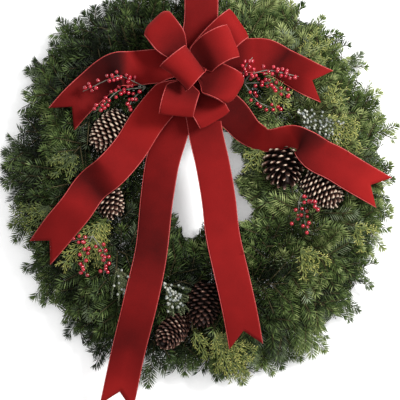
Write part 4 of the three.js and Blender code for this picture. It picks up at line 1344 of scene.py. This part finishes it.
for loop in LOOPS:
    name, via, end, across_angle, low, high, layers, rounded, gather = loop
    add_loop(name, loop_points(via, end, low, high, layers), across_angle, gather, rounded)

# The centre loop, a small flared barrel that stands on the knot and covers it
CENTRE_MIDDLE = np.array([-21, 160, 135.0])
CENTRE_HEADING = 43
CENTRE_REACH = 20.5
CENTRE_RISE = 15
CENTRE_FLARE = 0.24
CENTRE_FOOT = 2.55
points = [CENTRE_MIDDLE + polar(CENTRE_REACH * math.cos(math.radians(turn)), CENTRE_HEADING,
                                CENTRE_RISE * math.sin(math.radians(turn)))
          for turn in (205, 170, 140, 110, 80, 50, 20, -10, -30)]
first, last = ([*KNOT_PLACE, KNOT_HIGH] + polar(way, CENTRE_HEADING, CENTRE_FOOT)
               for way in (-1, 1))
add_loop("bow_loop_centre", [first, *points, last], CENTRE_HEADING + 90,
         flare=(CENTRE_MIDDLE, CENTRE_FLARE))

# The knot, the pinched middle of all the runs, bound round by its wire: a short pleated bundle
KNOT_BEVEL = 1.5
KNOT_PLEATS = 8
KNOT_PLEAT_SHARE = 0.06
bpy.ops.object.select_all(action="DESELECT")
bpy.ops.mesh.primitive_cylinder_add(
    vertices=32, radius=KNOT_RADIUS * MM, depth=(KNOT_HIGH - KNOT_LOW) * MM,
    location=in_frame([*KNOT_PLACE, (KNOT_HIGH + KNOT_LOW) / 2]))
knot = bpy.context.object
bpy.ops.object.transform_apply(location=True, rotation=True, scale=True)
bpy.ops.object.mode_set(mode="EDIT")
bpy.ops.mesh.select_all(action="SELECT")
bpy.ops.mesh.bevel(offset=KNOT_BEVEL * MM, segments=3)
bpy.ops.object.mode_set(mode="OBJECT")
middle = in_frame([*KNOT_PLACE, 0])
for vertex in knot.data.vertices:
    x, y = vertex.co.x - middle[0], vertex.co.y - middle[1]
    pleat = 1 - KNOT_PLEAT_SHARE * (1 + math.cos(KNOT_PLEATS * math.atan2(y, x)))
    vertex.co.x, vertex.co.y = middle[0] + x * pleat, middle[1] + y * pleat
knot.name = "bow_knot_bundle"
knot.data.materials.append(velvet)
bpy.ops.object.shade_smooth_by_angle(angle=math.radians(40))
dress(knot, "bow_knot")


# Floor, light and camera. A plain white floor, one wide soft light from the right and above,
# a weak one from the other side, and a camera that looks straight down from the front.
FLOOR_SIZE = 8.0
FLOOR_HEIGHT = -0.0005
FLOOR_GLOW = 0.22
STUDIO_GLOW = 0.65

bpy.ops.object.select_all(action="DESELECT")
bpy.ops.mesh.primitive_plane_add(size=FLOOR_SIZE, location=(0, 0, FLOOR_HEIGHT))
floor = bpy.context.object
floor.name = "floor"
floor.data.materials.append(new_finish("white floor", (0.85, 0.85, 0.85), 0.9,
                                       Emission_Color=(1, 1, 1, 1),
                                       Emission_Strength=FLOOR_GLOW))
floor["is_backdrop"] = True


def soft_light(name, place, size, power):
    """A square light that faces the frame's origin."""
    lamp = bpy.data.lights.new(name, "AREA")
    lamp.shape = "SQUARE"
    lamp.size = size
    lamp.energy = power
    light = bpy.data.objects.new(name, lamp)
    light.location = place
    light.rotation_mode = "QUATERNION"
    light.rotation_quaternion = (-Vector(place)).to_track_quat("-Z", "Y")
    bpy.context.scene.collection.objects.link(light)


soft_light("key light", (1.35, 0.8, 1.5), 0.6, 85)
soft_light("fill light", (-0.4, 0.2, 2.9), 2.2, 34)
world = bpy.data.worlds.new("studio")
world.use_nodes = True
world.node_tree.nodes["Background"].inputs["Color"].default_value = (1, 1, 1, 1)
world.node_tree.nodes["Background"].inputs["Strength"].default_value = STUDIO_GLOW
bpy.context.scene.world = world
bpy.context.scene.view_settings.view_transform = "Standard"

# The camera's sensor and lens, the width that it sees at the focus height, and the place that
# it looks at, a little below the ring's middle as in the photo
SENSOR = 36
LENS = 200
SEEN_WIDTH = 600
FOCUS_HEIGHT = 60
SEEN_MIDDLE = [0, -33]
camera = bpy.data.cameras.new("camera")
camera.sensor_width = SENSOR
camera.lens = LENS
camera.clip_end = 20
view = bpy.data.objects.new("camera", camera)
view.location = in_frame([*SEEN_MIDDLE, SEEN_WIDTH * LENS / SENSOR + FOCUS_HEIGHT])
bpy.context.scene.collection.objects.link(view)
bpy.context.scene.camera = view

low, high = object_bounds()
